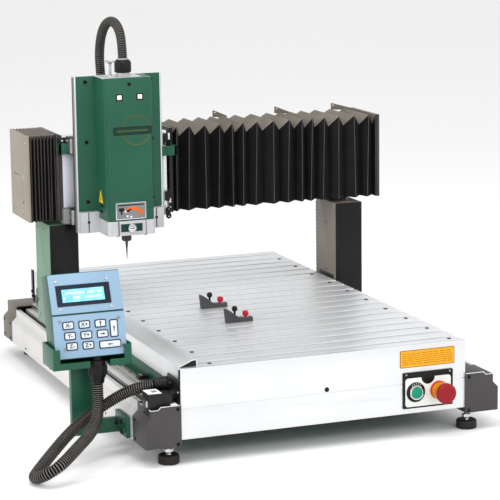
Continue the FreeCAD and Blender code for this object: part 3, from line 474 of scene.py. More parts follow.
def soften(**widths):
    """Copies of CAD nodes with their sharp edges rounded by a width, in place of the nodes."""
    for node, width in widths.items():
        mesh = bmesh.new()
        mesh.from_mesh(frame["nodes"][node].data)
        bmesh.ops.remove_doubles(mesh, verts=mesh.verts, dist=2e-6)
        bmesh.ops.dissolve_limit(mesh, angle_limit=math.radians(0.5), verts=mesh.verts, edges=mesh.edges)
        edges = [edge for edge in mesh.edges
                 if len(edge.link_faces) == 2 and edge.calc_face_angle(0) > math.radians(35)]
        round_off(mesh, edges, width / 1000, clamp_overlap=True)
        place_mesh(mesh, node + "_finished", BODY_OF[node], [FINISHED_IN.get(node, SLOT_OF[node])],
                   [node], 30)


def paint_cad_nodes():
    for node, piece in frame["nodes"].items():
        piece.data.materials.clear()
        piece.data.materials.append(MAT[SLOT_OF[node]])


# ---- corrugated hoses
PENDANT_ROUTE = [
    (-430, 112, 158), (-431, 106, 124), (-441, 78, 90), (-467, 38, 72), (-505, -6, 62),
    (-548, -45, 44), (-571, -46, 31), (-588, -31, 19), (-593, -6, 12), (-583, 18, 12),
    (-544, 52, 34), (-502, 86, 58), (-458, 112, 80), (-416, 120, 101), (-382, 110, 122),
    (-354, 94, 136), (-328, 78, 142),
]
HEAD_ROUTE = [
    (-216.6, 572, 721.7), (-217, 573, 752), (-219, 583, 783), (-226, 607, 800), (-233, 636, 790),
    (-236, 658, 764), (-236, 672, 732), (-234, 680, 700), (-230, 684, 668),
]


def smooth_line(route):
    """Points along a NURBS spline with the route as its control points."""
    curve = bpy.data.curves.new("route", "CURVE")
    curve.dimensions = "3D"
    curve.resolution_u = 16
    spline = curve.splines.new("NURBS")
    spline.points.add(len(route) - 1)
    for point, place in zip(spline.points, route):
        point.co = (*at(*place), 1)
    spline.order_u = 3
    spline.use_endpoint_u = True
    holder = bpy.data.objects.new("route", curve)
    mesh = bpy.data.meshes.new_from_object(holder)
    line = [vert.co.copy() for vert in mesh.vertices]
    bpy.data.objects.remove(holder)
    bpy.data.curves.remove(curve)
    bpy.data.meshes.remove(mesh)
    return line


def even_line(line, step):
    """Points an even step apart along a line, and the line's length."""
    spans = [(b - a).length for a, b in zip(line, line[1:])]
    total = sum(spans)
    count = max(2, round(total / step))
    points, index, walked = [], 0, 0.0
    for n in range(count + 1):
        goal = total * n / count
        while index < len(spans) - 1 and walked + spans[index] < goal:
            walked += spans[index]
            index += 1
        share = min(1.0, (goal - walked) / spans[index])
        points.append(line[index].lerp(line[index + 1], share))
    return points, total


RIB_PITCH, RIB_DEPTH, SLIT_DEPTH, HOSE_SIDES = 4.6, 1.7, 0.8, 22
RIB_SHAPE = (0.85, 1.0, 0.85, 0.0, 0.0)


def corrugated_hose(name, route, radius, slit_side):
    """A ribbed tube with a lengthwise slit, swept with frames that don't twist."""
    line = smooth_line(route)
    steps = len(RIB_SHAPE)
    points, total = even_line(line, RIB_PITCH / steps / 1000)
    mesh = bmesh.new()
    heading = (points[1] - points[0]).normalized()
    across = heading.cross(X if abs(heading.x) < 0.8 else Z).normalized()
    rings = []
    for n, point in enumerate(points):
        ahead = points[min(n + 1, len(points) - 1)] - points[max(n - 1, 0)]
        turned = heading.rotation_difference(ahead.normalized())
        heading = ahead.normalized()
        across = (turned @ across).normalized()
        over = heading.cross(across)
        raised = RIB_SHAPE[n % steps]
        ring = []
        for side in range(HOSE_SIDES):
            angle = math.tau * side / HOSE_SIDES
            size = radius - RIB_DEPTH * (1 - raised)
            if side == slit_side:
                size -= SLIT_DEPTH * raised
            ring.append(mesh.verts.new(point + (across * math.cos(angle) + over * math.sin(angle))
                                       * size / 1000))
        rings.append(ring)
    # Crest faces get the lighter hose colour, a painted highlight; groove faces get the near-black, painted
    # shade.
    for n, (lower, upper) in enumerate(zip(rings, rings[1:])):
        shaded_groove = RIB_SHAPE[n % steps] + RIB_SHAPE[(n + 1) % steps] < 1.5
        for side in range(HOSE_SIDES):
            after = (side + 1) % HOSE_SIDES
            face = mesh.faces.new((lower[side], lower[after], upper[after], upper[side]))
            face.material_index = 1 if shaded_groove else 0
    mesh.faces.new(rings[0][::-1])
    mesh.faces.new(rings[-1])
    piece = place_mesh(mesh, name, None, ["hose_black", "hose_groove_shade"],
                       [name.replace("_loom", "")], 60)
    return piece, line, total


def hoses():
    piece, line, total = corrugated_hose("pendant_hose_loom", PENDANT_ROUTE, 11.5, 6)
    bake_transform(piece)
    piece, line, total = corrugated_hose("head_hose_loom", HEAD_ROUTE, 10.5, 4)
    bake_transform(piece)


# ---- folding covers over the beam
FLAP_Y, COVER_GAP = 708.0, 0.5
# Face slots of the folds: the black fabric front, the roof painted lighter as painted light from above, and
# painted highlight strips along the ridges.
FABRIC, ROOF, RIDGE_HIGHLIGHT = range(3)


# The last two arguments give the half width and the material of the painted highlight strips along the
# ridges.
def bellows_mesh(name, stations, depth, hem, edge):
    """Folded cover with mitred top corners, a small gap inside the CAD one.

    Stations are (x, is a ridge, sway of the bottom).
    """
    (_, front, floor), (_, rear, roof) = corners(name)
    front, floor, rear = front + COVER_GAP, floor + COVER_GAP, rear - 2 * COVER_GAP
    mesh = bmesh.new()
    rows = []
    for x, ridge, sway in stations:
        inset = 0.0 if ridge else depth
        section = [(x, FLAP_Y, floor + inset * 0.2), (x + sway, front + inset * 0.9, floor + inset * 0.1),
                   (x, front + inset, roof - inset * 1.25), (x, rear, roof - inset * 0.55),
                   (x, rear, roof - 22)]
        for offset in (-hem, hem) if ridge else (0.0,):
            rows.append((ridge and offset > 0, [mesh.verts.new(at(cx + offset, cy, cz))
                                                for cx, cy, cz in section]))
    # Strips either side of a ridge take the edge material as painted highlights; the roof faces take the
    # lighter painted light.
    for (_, before), (highlighted, after) in zip(rows, rows[1:]):
        for n in range(4):
            face = mesh.faces.new((before[n], after[n], after[n + 1], before[n + 1]))
            face.material_index = RIDGE_HIGHLIGHT if highlighted and n < 2 else (ROOF if n >= 2 else FABRIC)
    bmesh.ops.recalc_face_normals(mesh, faces=mesh.faces)
    return place_mesh(mesh, name + "_folds", None, ["bellows_fabric", "bellows_roof_painted_light", edge],
                      [name], 20)


def bellows():
    (start, _, _), (end, _, _) = corners("bellows_right")
    frame_wide = 5.0
    pitches = (22, 38, 36, 35, 25, 28, 39, 41, 37, 25, 26, 34, 37, 40, 33)
    scale = (end - frame_wide - start) / sum(pitches)
    stations, x = [(start, False, 0)], start
    for pitch in pitches:
        wide = pitch * scale
        stations.append((x + wide * 0.5, True, random.uniform(-5, 5)))
        stations.append((x + wide, False, 0))
        x += wide
    stations += [(end - frame_wide + 1, True, 0), (end - 1, True, 0)]
    right = bellows_mesh("bellows_right", stations, 18, 0.65, "bellows_ridge_highlight")
    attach(right, "gantry")
    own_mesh(right)
    (start, _, _), (end, _, _) = corners("bellows_left")
    folds = 8
    wide = (end - start) / folds
    stations = [(start, False, 0)]
    for fold in range(folds):
        stations.append((start + (fold + 0.5) * wide, True, random.uniform(-1.6, 1.6)))
        stations.append((start + (fold + 1) * wide, False, 0))
    left = bellows_mesh("bellows_left", stations, 10, 1.35, "bellows_dark_ridge_highlight")
    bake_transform(left)


# ---- table and base
def table():
    soften(front_panel=0.5, table_planks=0.3, side_cover=0.25, rear_panel=0.5, base_frame=0.4)
    top = corners("table_planks")[1][2]
    screws = Mould()
    for plank in range(10):
        for x in (-233, 275):
            screws.lathe((x, 22 + plank * PLANK_WIDTH, top + 0.05), Z,
                         [(4.6, 0), (4.6, 0.5), (3.6, 0.9), (2.2, 0.9), (2.0, 0.1), (0, 0.1)], 16)
    screws.done("plank_screws", "base", "black_plastic")
    # Thin bright strips on the rear lip of each slot: painted highlights on the lips' chamfers.
    highlight_strips = Mould()
    for slot in range(20):
        lip = 39.1 + slot * PLANK_WIDTH / 2
        highlight_strips.box((-297, lip, top - 0.3), (297, lip + 1.4, top + 0.12), 0.1)
    highlight_strips.done("plank_slot_painted_highlights", "base", "column_aluminium", finish="bare_aluminium")


def front_label():
    label = Mould()
    middle, height, text_left, text_right, text_top = 216.5, 160.5, 162.0, 271, 171
    label.slab(rounded(119, 35, 2.5), (middle, 0, height), X, Z, 0.5, 0.2)
    label.slab(rounded(116, 32, 2), (middle, -0.5, height), X, Z, 0.1, 0, 1)
    for row in range(6):
        z = text_top - row * 4.2
        x = text_left
        while x < text_right - 5:
            long = min(random.uniform(6, 15), text_right - x)
            label.box((x, -0.85, z - 0.45), (x + long, -0.6, z + 0.45), 0, 2)
            x += long + 2.5
    label.done("front_label", "base", "label_brown", "label_orange", "label_brown", finish="bare_aluminium")


def side_cover_end():
    """Black sheets painted as shade in the side cover's open end and at the bottom of a hole in the front
    panel, a ring round that hole, and the bracket beside the front panel.
    """
    hollows = Mould()
    # A black wedge set into the cover's open end: painted shade of the hollow inside.
    hollows.slab([(0, 0), (34, 0), (34, 11), (26, 11), (0, 1.5)], (-297.5, 12, 188.6), X, Z, -3, 0)
    # A black disc at the bottom of the hole: painted shade inside the hole.
    hollows.lathe((1, 4.6, 117), -Y, [(3.9, 0), (3.9, 0.3), (0, 0.3)], 20)
    hollows.lathe((1, 0.2, 117), -Y, [(4.0, 0), (4.9, 0.25), (4.9, 0.4), (3.9, 0.4)], 24)
    hollows.done("side_cover_end_and_hole_shade", "base", "black_plastic")
    edge = Mould()
    face = -302.6
    edge.box((face, 1, 121), (-300.05, 70, 166), 0.4)
    edge.box((face + 0.2, 0.5, 168), (-300.05, 6, 186), 0.3)
    edge.lathe((face, 48, 151), -X, [(9.5, 0), (9.5, 3), (8, 4.2), (0, 4.2)], 28)
    edge.lathe((face - 4.2, 48, 151), -X, [(2.6, 0), (2.6, 0.6), (0, 0.8)], 16, 1)
    edge.screw((face, 8, 141), -X, 2.6, slot=1, socket=0)
    edge.done("panel_side_bracket", "base", "black_plastic", "chrome")


def base_back():
    rear = corners("rear_panel")[1][1]
    back = Mould()
    for column in range(9):
        for row in range(3):
            back.slab(rounded(16, 4, 2), (60 + column * 22, rear + 0.05, 92 + row * 20), -X, Z, 0.35, 0.1)
    back.done("rear_vents", "base", "black_plastic")
    fan = Mould()
    fan_x, fan_z = -110, 112
    fan.slab(rounded(62, 62, 5), (fan_x, rear, fan_z), -X, Z, 2.5, 0.6)
    for radius in (8, 15, 22, 28):
        wire = [(radius + out, high) for out, high in ((-0.9, 0), (-0.7, 1.2), (0.7, 1.2), (0.9, 0))]
        fan.lathe((fan_x, rear + 2.4, fan_z), Y, wire, 40, 1)
    for sx, sz in ((-1, -1), (-1, 1), (1, -1), (1, 1)):
        x, z = fan_x + 14 * sx, fan_z + 14 * sz
        fan.screw((fan_x + 25 * sx, rear + 2.5, fan_z + 25 * sz), Y, 2.6, slot=1, socket=0)
        fan.box((x - 7, rear + 2.6, z - 0.8), (x + 7, rear + 3.6, z + 0.8), 0.3, 1,
                Matrix.Rotation(math.radians(-45 * sx * sz), 3, "Y"))
    fan.done("rear_fan_guard", "base", "black_plastic", "chrome")
    soften(power_inlet=0.5)
    heads = Mould()
    for x in (-290, -150, 0, 150, 290):
        for z in (60, 178):
            heads.screw((x, rear, z), Y, 3.6)
    for x in (-242, -190):
        heads.screw((x, rear + 4, 84), Y, 2.4)
    for x, z in ((-224, 99), (-216, 99), (-208, 99)):
        heads.box((x - 2, rear + 0.5, z - 5), (x + 2, rear + 16, z + 5), 0.3, 2)
    heads.done("rear_screws", "base", "guide_steel", "black_plastic", "chrome")


# ---- rails, motors and feet
def rails():
    soften(y_rails=0.6, rail_caps=1.2, motor_covers=0.9, y_bearing_blocks=0.4, y_guide_rails=0.5)
    (_, front, _), _ = corners("motor_covers")
    outer, rear, _ = corners("rail_caps")[1]
    guide_top = corners("y_guide_rails")[1][2]
    detail = Mould()
    for side in SIDES:
        for number in range(14):
            detail.lathe((GUIDE_X * side, 130 + number * 62, guide_top + 0.02), Z,
                         [(3.4, 0), (3.4, 0.15), (2.6, 0.25), (0, 0.25)], 14)
    detail.done("guide_rail_bolts", "base", "black_plastic")
    heads = Mould()
    for side in SIDES:
        for z in (43, 112):
            heads.screw((307 * side, front, z), -Y, 3.4)
        for y, z, radius in ((64, 44, 3.2), (64, 82, 3.2), (980, 46, 2.8), (1034, 46, 2.8),
                             (980, 80, 2.8), (1034, 80, 2.8)):
            heads.screw((outer * side, y, z), X * side, radius)
        for x, z in ((310, 48), (362, 48), (310, 112)):
            heads.screw((x * side, rear, z), Y, 3.2)
        for y in (250, 450, 650, 850):
            heads.screw((outer * side, y, 48), X * side, 2.2)
    heads.done("rail_end_screws", "base", "black_plastic", "guide_steel")


def motor_details():
    """Connector block, painted highlight strips along the covers' lip edges, motor bodies and a limit
    switch.
    """
    (_, front, _), _ = corners("motor_covers")
    guide_top = corners("y_guide_rails")[1][2]
    motor = Mould()
    motor.box((-362, 7, 99), (-333, 47, 143), 2.6)
    motor.box((-334, 9, 99), (-313, 45, 139), 3.4)
    for rib in range(6):
        motor.box((-334, 12 + rib * 5.4, 100), (-312.2, 14.6 + rib * 5.4, 139.8), 1.0)
    motor.slab(rounded(27, 36, 1), (-347.6, 27, 143), X, Y, 0.4, 0.1, 1)
    motor.slab(rounded(10, 13, 1), (-345, 26, 143.4), X, Y, 0.15, 0, 2)
    motor.box((-364.5, 12, 117), (-361, 17, 130), 0.5, 3)
    motor.box((-318, 0, 114), (-306, 16, 120.5), 0.8, 1)
    motor.done("motor_connector_block", "base", "motor_black", "label_white", "sign_grey", "chrome")
    # Light strips along the covers' top edges and wavy front lips: painted highlights.
    highlight_strips = Mould()
    lip_y = front + 0.1
    highlight_strips.box((-361.6, front - 0.2, 112.8), (-360.4, 62, 114), 0.2)
    highlight_strips.slab([(0, 0), (15, 0), (20, 5.5), (59, 5.5), (59, 6.5), (19.4, 6.5), (14.4, 1), (0, 1)],
              (-361, lip_y, 113), X, Z, 0.5, 0.1)
    highlight_strips.slab([(0, 0), (39, 0), (44, -5.5), (61, -5.5), (61, -4.5), (44.6, -4.5), (39.6, 1), (0, 1)],
              (300, lip_y, 118.5), X, Z, 0.5, 0.1)
    highlight_strips.done("motor_cover_painted_highlights", "base", "column_aluminium", finish="bare_aluminium")
    body = Mould()
    motor_x, motor_z, flange = 331, 70, 55.5
    for side in SIDES:
        for start, end, slimmer in ((6.5, 15, 0), (16, 49, 1.5), (50, 57.5, 0)):
            half = flange / 2 - slimmer
            body.box((motor_x * side - half, start, motor_z - half),
                     (motor_x * side + half, end, motor_z + half), 1.5)
    body.done("y_motor_bodies", "base", "motor_black", replaces=["y_motors"])
    switch = Mould()
    switch.box((-320, 188, guide_top + 0.2), (-302, 210, 133), 0.8)
    switch.box((-316, 191, 133), (-312, 207, 134.2), 0.4, 1)
    switch.done("left_limit_switch", "base", "black_plastic", "chrome")


def feet():
    pads = Mould()
    for side in SIDES:
        for y in (27, 996):
            x = side * 317
            pads.lathe((x, y, 0), Z, [(0, 0), (19.3, 0), (20.5, 1.2), (20.5, 14.5), (19.6, 16.5),
                                      (17.5, 17.6), (13, 18), (12, 17.2), (0, 17.2)], 40)
            pads.posts(20, (x, y), Z, 20.2, 0.5, (3, 14))
            thread = [(5, 17)]
            for turn in range(10):
                thread += [(5.0, 17.4 + turn * 2), (4.4, 18.4 + turn * 2)]
            pads.lathe((x, y, 0), Z, thread + [(4.6, 38)], 20, 1)
            pads.lathe((x, y, 22), Z, [(7.4, 0), (9, 0.8), (9, 6.2), (7.4, 7)], 6, 1)
    pads.done("foot_pads_and_studs", "base", "foot_rubber", "chrome", replaces=["levelling_feet"])


# ---- switches
def switches():
    middle, _, plate_z = middle_of("switch_plate")
    start_x, _, z = middle_of("start_button")
    stop_x = middle_of("estop_button")[0]
    plate = Mould()
    plate.slab(rounded(109, 73, 2.5), (middle, 0, plate_z), X, Z, 2.2, 0.5)
    plate.slab(rounded(99, 58, 6), (middle, -2.1, plate_z - 4), X, Z, 0.9, 0.3, 1)
    plate.slab(arc(14.5, 180, 360, 16), (217, -2.4, 121.8), X, Z, 1.0, 0.3)
    for x in (middle - 47.5, middle + 47.5):
        plate.screw((x, -2.2, 129), -Y, 1.6, 0.6, 2, 0)
    plate.done("switch_surround", "base", "black_plastic", "cream_plate", "chrome",
               replaces=["switch_plate"])
    rings = Mould()
    rings.lathe((start_x, -2.9, z), -Y, [(20, 0), (20, 1.8), (19, 2.6), (15.6, 2.9), (15.2, 2.9)], 48)
    for angle in range(60, 121, 15):
        rings.post((start_x, z), Y, math.radians(angle), 17.4, 0.8, (-6.1, -5.7), 0.2, 2)
    rings.lathe((start_x, -3.5, z), -Y, [(15.2, 0), (15.2, 5), (14.2, 7), (12.4, 7.4), (11.4, 6.6),
                                         (11.35, 2)], 48, 1)
    rings.lathe((stop_x, -2.9, z), -Y, [(18.5, 0), (18.5, 5.5), (17.4, 7.6), (15.5, 8.4), (9, 8.6)], 48, 3)
    rings.lathe((stop_x, -10.2, z), -Y, [(17, 0), (17, 1.6), (9, 2.2)], 48, 4)
    rings.done("switch_rings", "base", "black_plastic", "chrome", "label_white", "stop_base_red",
               "stop_yellow", replaces=["switch_bodies"])
    start = Mould()
    start.lathe((start_x, 3, z), -Y, [(0, 0), (8, 0), (8, 8.5), (11, 9.6), (11, 12.8), (10.2, 13.7),
                                      (8, 14.0), (0, 14.1)], 40)
    start.done("start_button_cap", "start_button", "start_green", replaces=["start_button"])
    stop = Mould()
    stop.lathe((stop_x, 5, z), -Y, [(0, 0), (7.9, 0), (7.9, 26), (12.4, 27), (13.2, 30), (18, 34),
                                    (20.4, 38.5), (20.5, 44), (19.8, 46.6), (17.6, 48.6), (12, 49.6),
                                    (0, 50)], 48)
    for arrow in range(3):
        angle = math.tau * arrow / 3 + 0.4
        x, high = stop_x + 12.5 * math.cos(angle), z + 12.5 * math.sin(angle)
        stop.box((x - 2.2, -44.9, high - 0.5), (x + 2.2, -44.2, high + 0.5), 0.2, 0,
                 Matrix.Rotation(-angle + math.pi / 2, 3, "Y"))
    stop.done("estop_mushroom", "estop_button", "stop_red", replaces=["estop_button"])


# ---- gantry
def gantry():
    soften(gantry_leg_left=1.0, gantry_leg_right=1.0, leg_covers=0.8, beam_end_plates=0.5,
           cross_beam=1.0, x_guide_rails=0.5, y_carriages=0.6, x_motor=1.5)
    plate_x = corners("beam_end_plates")[1][0]
    leg_x = corners("leg_covers")[1][0]
    beam_rear = corners("cross_beam")[1][1]
    heads = Mould()
    for side in SIDES:
        for y, z in ((697, 386), (778, 506), (664, 540), (778, 386)):
            heads.screw((plate_x * side, y, z), X * side, 3.4)
        heads.slab(rounded(9, 3, 1.4), ((plate_x + 0.02) * side, 735, 466), Y * side, Z, 0.3, 0, 1)
        for z in (150, 345):
            for y in (700, 744):
                heads.screw((leg_x * side, y, z), X * side, 3.2)
    for x in (-380, -190, 0, 190, 380):
        for z in (404, 526):
            heads.screw((x, beam_rear, z), Y, 4.2)
    heads.box((-398, beam_rear, 440), (-352, beam_rear + 3, 492), 0.6, 2)
    heads.lathe((-375, beam_rear + 3, 466), Y, [(9, 0), (9, 3), (7.5, 4), (0, 4)], 24, 1)
    heads.done("gantry_screws", "gantry", "guide_steel", "black_plastic", "dark_grey_paint")


def gantry_details():
    """Holes, slots and brackets of the legs, block seals, and the fins that guide the bellows."""
    marks = Mould()
    marks.lathe((302.2, 701, 311), -X, [(3.2, 0), (3.2, 0.3), (0, 0.3)], 16)
    marks.box((301.6, 661, 186), (302.1, 742, 196), 0.2)
    marks.box((301.6, 700, 200), (302.1, 706, 204), 0.2)
    marks.box((-302.1, 661, 186), (-301.6, 742, 196), 0.2)
    for row in range(24):
        marks.box((301.5, 757.5, 150 + row * 8.5), (302.3, 761.4, 154 + row * 8.5), 0.3)
    marks.done("leg_openings", "gantry", "black_plastic")
    rear = Mould()
    rear.box((-368.5, 785, 170), (-364.5, 799, 240), 0.6)
    rear.box((-366.5, 755, 176), (-361, 789, 184), 0.6)
    rear.lathe((-368.4, 792, 192), -X, [(3.4, 0), (3.4, 2), (2.6, 2.6), (0, 2.6)], 20)
    rear.lathe((-368.4, 789, 182), -X, [(2.6, 0), (2.6, 2), (2, 2.5), (0, 2.5)], 20)
    rear.done("left_cable_bracket", "gantry", "black_paint")
    edge = Mould()
    edge.box((404.6, 645.4, 372), (409.4, 648, 558), 0.4)
    edge.done("right_end_plate_edge", "gantry", "brown_black_paint", finish="black_paint")
    seals = Mould()
    for side in SIDES:
        for y in (649.3, 694.6, 710.4, 755.6):
            seals.box((GUIDE_X * side - 15, y - 1.4, 118.5), (GUIDE_X * side + 15, y + 1.4, 133), 0.6)
    seals.done("y_block_seals", "gantry", "window_green")
    # The fins take the roof's lighter brown-grey, painted light from above on the black fabric.
    fins = Mould()
    for x, long in ((62, 34), (212, 36), (352, 50)):
        fins.slab([(0, 0), (long, -3), (long, 1.5), (3, 15), (0, 15)], (x, 787.5, 556), X, Z, 1.2, 0.2)
        fins.lathe((x + 5, 786.2, 566), -Y, [(1.6, 0), (1.6, 0.4), (0, 0.4)], 10, 1)
    fins.done("bellows_guide_fins", "gantry", "bellows_roof_painted_light", "label_white",
              finish="bellows_fabric")


# ---- X carriage
def carriage():
    soften(x_carriage_plate=0.6, bellows_frames=0.8, carriage_bearings=0.7, z_motor=1.2,
           carriage_fitting=0.8)
    clips = Mould()
    clips.box((-345, 631, 517), (-300, 634.5, 540), 0.8)
    clips.box((-345, 631, 517), (-338, 645.5, 540), 0.8)
    clips.box((-139, 613, 502), (-109, 615.5, 523), 0.6)
    clips.box((-111, 613, 502), (-84.5, 616.5, 523), 0.8)
    clips.box((-91, 613, 502), (-84.5, 645.5, 523), 0.8)
    clips.done("carriage_strap_clips", "x_carriage", "green_paint")


def carriage_details():
    """Seals of the Z blocks, trim of the bellows frames, and the bright columns between them."""
    ends = Mould()
    for middle in (-302, -138):
        for z in (366, 398.4, 520, 552.4):
            ends.box((middle - 22, 616.5, z - 1.6), (middle + 22, 645.8, z + 1.6), 0.6)
    lobes = [(-319, 628, 375), (-319, 628, 391), (-335, 640, 546), (-325, 640, 546), (-308, 640, 546),
             (-106, 633, 543), (-106, 633, 529), (-100, 633, 381), (-100, 633, 367)]
    for x, y, z in lobes:
        ends.lathe((x, y, z), -Y, [(6.2, 0), (6.2, 2), (5, 3.2), (0, 3.2)], 20)
        ends.lathe((x, y - 3.2, z), -Y, [(2, 0), (2, 0.4), (0, 0.6)], 12, 1)
    for x, low, high in ((-319, 373, 393), (-106, 528, 545), (-100, 367, 382)):
        ends.box((x - 3.4, 628, low), (x + 3.4, 642, high), 0.6)
    ends.box((-345, 640, 541), (-301, 645.8, 552), 0.6)
    ends.box((-337, 630, 367), (-324, 646, 399), 0.8, 2)
    ends.done("z_block_end_seals", "x_carriage", "black_plastic", "chrome", "sign_grey")
    strip = Mould()
    strip.box((-346.8, 643.4, 373), (-334, 646, 557), 0.5, 1)
    strip.box((-341.5, 642.9, 375), (-340.5, 643.6, 555), 0.2)
    strip.box((-92.8, 643.4, 373), (-84.4, 646, 557), 0.5)
    # Two thin lines, lighter than the black frame: painted highlights.
    strip.box((-90.2, 642.8, 392), (-89.2, 643.5, 498), 0.2, 3)
    strip.box((-87.2, 642.8, 392), (-86.4, 643.5, 498), 0.2, 1)
    strip.box((-104, 638, 399), (-94.4, 645.8, 420), 0.6)
    for z, long in ((533, 14), (394, 9), (380, 5)):
        strip.box((-94.6, 642.6, z), (-90.6, 643.6, z + long), 0.3, 2)
    for z in (382, 466, 548):
        strip.screw((-344, 643.4, z), -Y, 2.2, 1.2, 3, 0)
    strip.box((-309.5, 638, 400), (-301, 645.8, 518), 0.6, 3)
    strip.done("bellows_frame_trim", "x_carriage", "black_paint", "brown_black_paint", "label_white",
               "dark_grey_paint")
    column = Mould()
    column.box((-333.6, 643.6, 400), (-309.5, 646.1, 516), 0.5)
    column.box((-132, 643.6, 368), (-104.5, 646.1, 552), 0.5)
    column.done("carriage_side_columns", "x_carriage", "side_column_aluminium", finish="bare_aluminium")


# ---- head
def head():
    soften(z_plate=0.5, z_guide_rails=0.5, head_cover=0.7, spindle_motor=0.5)
    screws = Mould()
    for z in (673, 545, 417):
        for x in (HEAD_X - 73, HEAD_X + 73):
            screws.screw((x, 597, z), -Y, 4.0)
    screws.screw((-219, HEAD_FRONT, 672), -Y, 3.6)
    for x in (HEAD_X - 76, HEAD_X + 76):
        screws.screw((x, 584, 375), -Y, 3.0, 1.0)
    for x in (HEAD_X - 31, HEAD_X + 31):
        screws.lathe((x, 526, HEAD_LOW + 0.2), -Z, [(2.6, 0), (2.6, 2.4), (0, 2.6)], 16)
    screws.done("head_screws", "z_head", "black_plastic", "tool_steel")


def head_signs():
    """Two rating plates, the speed sign and the hazard sign."""
    signs = Mould()
    raised = HEAD_FRONT - 0.5
    printed = raised - 0.2
    for x in (-241, -196):
        signs.slab(rounded(15, 14, 1), (x, HEAD_FRONT, 645), X, Z, 0.5, 0.15)
        signs.slab(rounded(9.5, 9, 0.6), (x, raised, 645), X, Z, 0.15, 0, 1)
    signs.slab(rounded(67, 36, 1.5), (-221, HEAD_FRONT, 404), X, Z, 0.5, 0.15, 2)
    signs.slab(rounded(63.5, 32.5, 1), (-221, raised, 404), X, Z, 0.12, 0, 3)
    for left, right, low, high, bevel in ((-250, -192, 415.6, 418, 0), (-248, -236.5, 404, 411, 0.1),
                                          (-244, -240.5, 397, 404, 0.1)):
        signs.box((left, printed - 0.2, low), (right, printed + 0.1, high), bevel)
    signs.slab([(0, 0), (8, 1), (15, 6), (12, 8), (6, 5), (-1, 4)], (-234, printed, 401), X, Z, 0.15, 0, 1)
    dial = arc(27, 128, 28, 10)
    for tooth in range(6):
        angle = math.radians(28 + tooth * 20)
        dial.append((20.5 * math.cos(angle), 20.5 * math.sin(angle)))
        dial.append((18 * math.cos(angle + 0.17), 18 * math.sin(angle + 0.17)))
    signs.slab(dial, (-216, printed, 386), X, Z, 0.15, 0, 4)
    for x, z, slot in ((-229, 393, 1), (-221, 391.5, 1), (-205, 393, 4)):
        signs.slab(disc(2.2, 12), (x, printed, z), X, Z, 0.15, 0, slot)
    signs.slab([(0, 0), (25, 0), (25, 5), (12.5, 28), (0, 5)], (-272.5, 582, 418), -Y, Z, 0.4, 0.1, 5)
    signs.slab([(0, 0), (4, 0), (2, 10)], (-272.9, 571.5, 424), -Y, Z, 0.12, 0, 0)
    signs.done("head_signs", "z_head", "black_plastic", "label_white", "chrome", "sign_grey",
               "sign_orange", "sign_yellow", finish="black_plastic")


def head_emblem():
    """A plain ring of dots with a bar across it."""
    emblem = Mould()
    x, z, bar_x = -204.5, 575, -214
    emblem.slab(disc(32.5, 56), (x, HEAD_FRONT, z), X, Z, 0.25, 0.05, 1)
    emblem.slab(disc(30, 56), (x, HEAD_FRONT - 0.25, z), X, Z, 0.12, 0, 2)
    for dot_x, dot_z in disc(26.5, 24):
        emblem.slab(disc(1.1, 8), (x + dot_x, HEAD_FRONT - 0.4, z + dot_z), X, Z, 0.1, 0, 1)
    for wide, tall, radius, rise, thick, bevel, slot in ((84, 17, 2.5, 0.4, 0.3, 0.08, 0),
                                                         (78, 11, 1.5, 0.7, 0.12, 0, 3),
                                                         (66, 2.4, 1, 0.82, 0.1, 0, 1)):
        emblem.slab(rounded(wide, tall, radius), (bar_x, HEAD_FRONT - rise, z - 1), X, Z, thick, bevel,
                    slot)
    emblem.done("head_emblem", "z_head", "emblem_dark", "emblem_gold", "green_paint", "window_green",
                finish="green_paint")


